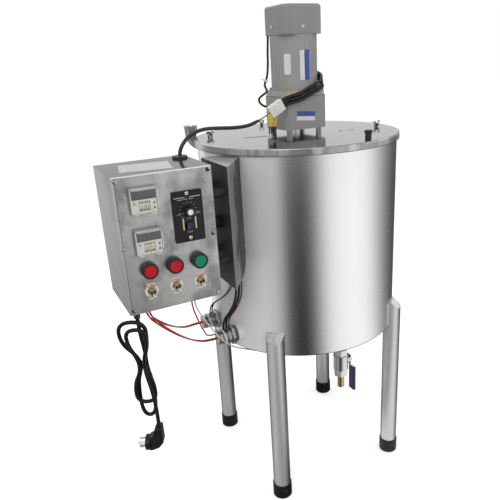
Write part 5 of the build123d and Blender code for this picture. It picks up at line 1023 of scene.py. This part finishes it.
# Bands: a strap round a line, square to the way it runs
def strap(middle, way, radius, wide, thick, squash=(1.0, 1.0)):
    way = np.array(way, float) / np.linalg.norm(way)
    first = np.cross(way, (0, 0, 1) if abs(way[2]) < 0.9 else (1, 0, 0))
    first /= np.linalg.norm(first)
    ring = circle(radius, 40) * squash
    path = np.array(middle) + ring[:, :1] * first + ring[:, 1:] * np.cross(way, first)
    return carried(path, np.array([[-1, -1], [1, -1], [1, 1], [-1, 1]]) * (thick / 2, wide / 2), way, True)


headTies = {"spots": ((-121.6, -72.0, 389.0), (-127.6, -5.0, 400.0)), "way": (1, 0, 0.18),
            "band": (15.7, 3.6, 1.3), "lock": (5.5, 5.0, 5.0, 0.6, 0.5), "lockAt": (-2.6, -13.2, 8.6)}
ties = []
for spot in headTies["spots"]:
    lock = setAt(squarePad(*headTies["lock"]), np.array(spot) + headTies["lockAt"], (1, 0, 0), (0, -0.8, 0.6))
    ties += [strap(spot, headTies["way"], *headTies["band"]), lock]
addPiece("headTies", ties, tieWhite, "frame")

headDiscs = (((-135.4, -72.0, 389.0), 11.0), ((-141.7, -5.0, 400.0), 10.0))  # middle, radius
discs = [setAt(roundPad(radius, 0.8, 0.3), spot, (0, 1, 0), (-1, 0, 0)) for spot, radius in headDiscs]
addPiece("headDiscs", discs, discCream, "frame")

hankTie = {"middle": (-315.2, -176.1, 437.0), "band": (8.9, 3.2, 1.2), "squash": (1.36, 1.0)}
points, faces = strap((0, 0, 0), (0, 0, 1), *hankTie["band"], hankTie["squash"])
right, ahead = mainsHank["right"]
spin = np.array([[right, ahead, 0], [-ahead, right, 0], [0, 0, 1]])
addPiece("hankTie", (points @ spin + hankTie["middle"], faces), cordBlack, "frame")

fanTie = {"middle": (50.0, 13.4, 888.0), "way": (0.5, 0.15, 0.85), "band": (3.0, 2.6, 1.0),
          "end": (13.0, 1.8, 0.8), "endAt": (41.5, 5.0, 889.5), "endWay": (-0.86, 0, 0.5)}
tieEnd = setAt(squarePad(*fanTie["end"]), fanTie["endAt"], fanTie["endWay"])
addPiece("fanTie", [strap(fanTie["middle"], fanTie["way"], *fanTie["band"]), tieEnd],
         tieWhite, "lid_unit")


# Welds: beads along the leg caps, stitches on the lid, spots on the duct
def legBeads(angle, cap):
    # one bead along the tank's wall, as wide as the tube; one round the tube's slanted end, an arc about
    # the tube's middle that drops with its distance from the wall
    heading, half = math.radians(angle), math.asin(cap["half"] / cap["radius"])
    arc, reach = heading + np.linspace(-half, half, 15), cap["radius"] + 0.6
    wall = np.c_[tankX + reach * np.cos(arc), reach * np.sin(arc), np.full(15, cap["height"] - 0.1)]
    out = np.array([math.cos(heading), math.sin(heading)])
    side = np.array([-out[1], out[0]])
    turn = np.radians(np.linspace(-84, 84, 21))[:, None]
    plan = out * cap["reach"] + cap["bead"] * (np.cos(turn) * out + np.sin(turn) * side)
    drop = (np.linalg.norm(plan, axis=1) - cap["radius"]) * cap["slope"]
    edge = np.c_[plan + (tankX, 0), cap["height"] + 0.2 - drop]
    up = (*out, 1.0)
    return [carried(wall, circle(1.3, 8), up), carried(edge, circle(0.9, 8), up)]


beads = [bead for angle in (-135, -45, 45, 135) for bead in legBeads(angle, legCap)]
addPiece("legBeads", beads, beadSteel, "frame", 60.0)

# stitches lie on one line across the lid, each at a share of its length; the bright ones carry painted glints
lidStitches = {"start": (-4.75, 9.0), "end": (238.0, -63.0), "z": 779.4, "size": (9.0, 3.8, 0.4),
               "dark": (0.005, 0.045, 0.085, 0.12, 0.15, 0.19, 0.80, 0.90),
               "bright": (0.765, 0.83, 0.855, 0.875, 0.925, 0.95)}
start = np.array(lidStitches["start"])
run = np.array(lidStitches["end"]) - start
for tone, finish in (("dark", markBlack), ("bright", paintedHighlightWhite)):
    spots = [(*(start + run * share), lidStitches["z"]) for share in lidStitches[tone]]
    stitches = [setAt(squarePad(*lidStitches["size"]), spot, (*run, 0), (0, 0, 1)) for spot in spots]
    addPiece("lidStitches" + tone.title(), stitches, finish, "lid_unit")

ductSpots = {"x": -76.0, "y": -108.0, "out": (-0.3, -0.95, 0), "heights": (566, 574, 583, 591, 601, 612, 618)}
welds = [setAt(roundPad(2.0 + 0.5 * (n % 2), 1.2, 0.6, 12), (ductSpots["x"] - 1.2 * (n % 3), ductSpots["y"], z),
               (1, 0, 0), ductSpots["out"]) for n, z in enumerate(ductSpots["heights"])]
addPiece("ductSpots", welds, beadSteel, "frame")
print("bands and welds laid")


# Floor, world and lamps; each lamp by its place in metres, its watts and its size
studio = {"floorSize": 14.0, "floorGrey": 0.80, "floorGlow": 0.55, "roomLevel": 1.20,
          "sky": 0.62, "skySeen": 0.80,
          "lamps": {"keyLamp": (-1.6, -2.0, 2.6, 26.0, 1.6), "fillLamp": (2.2, -1.2, 1.8, 9.0, 1.8),
                    "backLamp": (0.4, 2.2, 2.4, 10.0, 1.8)}}
# what polished metal sees round the room: angle about the tank in turns from -X by way of -Y, and its grey
roomGreys = [(0.0, 0.36), (0.042, 0.47), (0.061, 0.50), (0.083, 0.46), (0.117, 0.20), (0.144, 0.04),
             (0.169, 0.0), (0.189, 0.02), (0.211, 0.15), (0.233, 0.50), (0.256, 0.80), (0.292, 0.94),
             (0.333, 1.0), (0.367, 0.98), (0.40, 0.86), (0.439, 0.50), (0.483, 0.20), (0.542, 0.05),
             (0.667, 0.04), (0.74, 0.40), (0.78, 0.80), (0.81, 0.80), (0.85, 0.36), (0.93, 0.30),
             (1.0, 0.36)]


def byRay(made, matt, seen, polished):
    # one shader for matt surfaces, one for the camera and what is seen through, one for polished metal
    path = made.node("LightPath").socket.node
    isCamera, isThrough, isGlossy = [Tap(made, path.outputs["Is %s Ray" % kind])
                                     for kind in ("Camera", "Transmission", "Glossy")]
    isSeen = isCamera.sum("MAXIMUM", isCamera, isThrough)
    plain = made.node("MixShader", {0: isSeen, 1: matt, 2: seen})
    return made.node("MixShader", {0: isGlossy, 1: plain, 2: polished}).socket


def layFloor(size):
    # the camera sees white with the shadow on it, polished metal sees the greys of the room
    points = np.array([(-1, -1, 0), (1, -1, 0), (1, 1, 0), (-1, 1, 0)], float) * size
    mesh = bpy.data.meshes.new("studioFloor")
    mesh.from_pydata((points - (0, 0, 0.0004)).tolist(), [], [[0, 1, 2, 3]])
    made = Finish("floorWhite")
    x, y, _ = made.axes((tankX, 0, 0))
    turn = made.fraction(x.sum("ARCTAN2", y * -1.0, x * -1.0) / (2 * math.pi) + 1.0)
    greys = made.node("ValToRGB", {0: turn}, stops=roomGreys)
    room = made.node("Emission", {"Color": greys, "Strength": studio["roomLevel"]})
    glow = made.node("Emission", {"Color": 1.0, "Strength": studio["floorGlow"]})
    matt = made.node("BsdfDiffuse", {"Color": studio["floorGrey"]})
    seen = made.node("AddShader", {0: matt, 1: glow})
    made.tree.links.new(byRay(made, matt, seen, room), made.tree.nodes["Material Output"].inputs["Surface"])
    made.tree.nodes.remove(made.shader)
    mesh.materials.append(made.material)
    placed("studioFloor", mesh)


def lightWorld(level, polishedLevel):
    # the camera sees white, polished metal one grey, and matt surfaces are lit by another
    world = bpy.data.worlds.new("studioWorld")
    bpy.context.scene.world = world
    made = Finish("studioWorld", holder=world)
    made.tree.nodes.clear()
    skies = [made.node("Background", {"Color": 1.0, "Strength": strength})
             for strength in (level, 1.0, polishedLevel)]
    out = made.tree.nodes.new("ShaderNodeOutputWorld")
    made.tree.links.new(byRay(made, *skies), out.inputs["Surface"])


def hangLamp(name, x, y, z, watts, size):
    data = bpy.data.lights.new(name, "AREA")
    data.energy, data.size = watts, size
    lamp = placed(name, data)
    spot = Vector((x, y, z))
    way = Vector((tankX * mm, 0, 0.5)) - spot
    lamp.matrix_world = Matrix.Translation(spot) @ way.to_track_quat("-Z", "Y").to_matrix().to_4x4()


layFloor(studio["floorSize"])
lightWorld(studio["sky"], studio["skySeen"])
for name, lamp in studio["lamps"].items():
    hangLamp(name, *lamp)
print("studio lit")
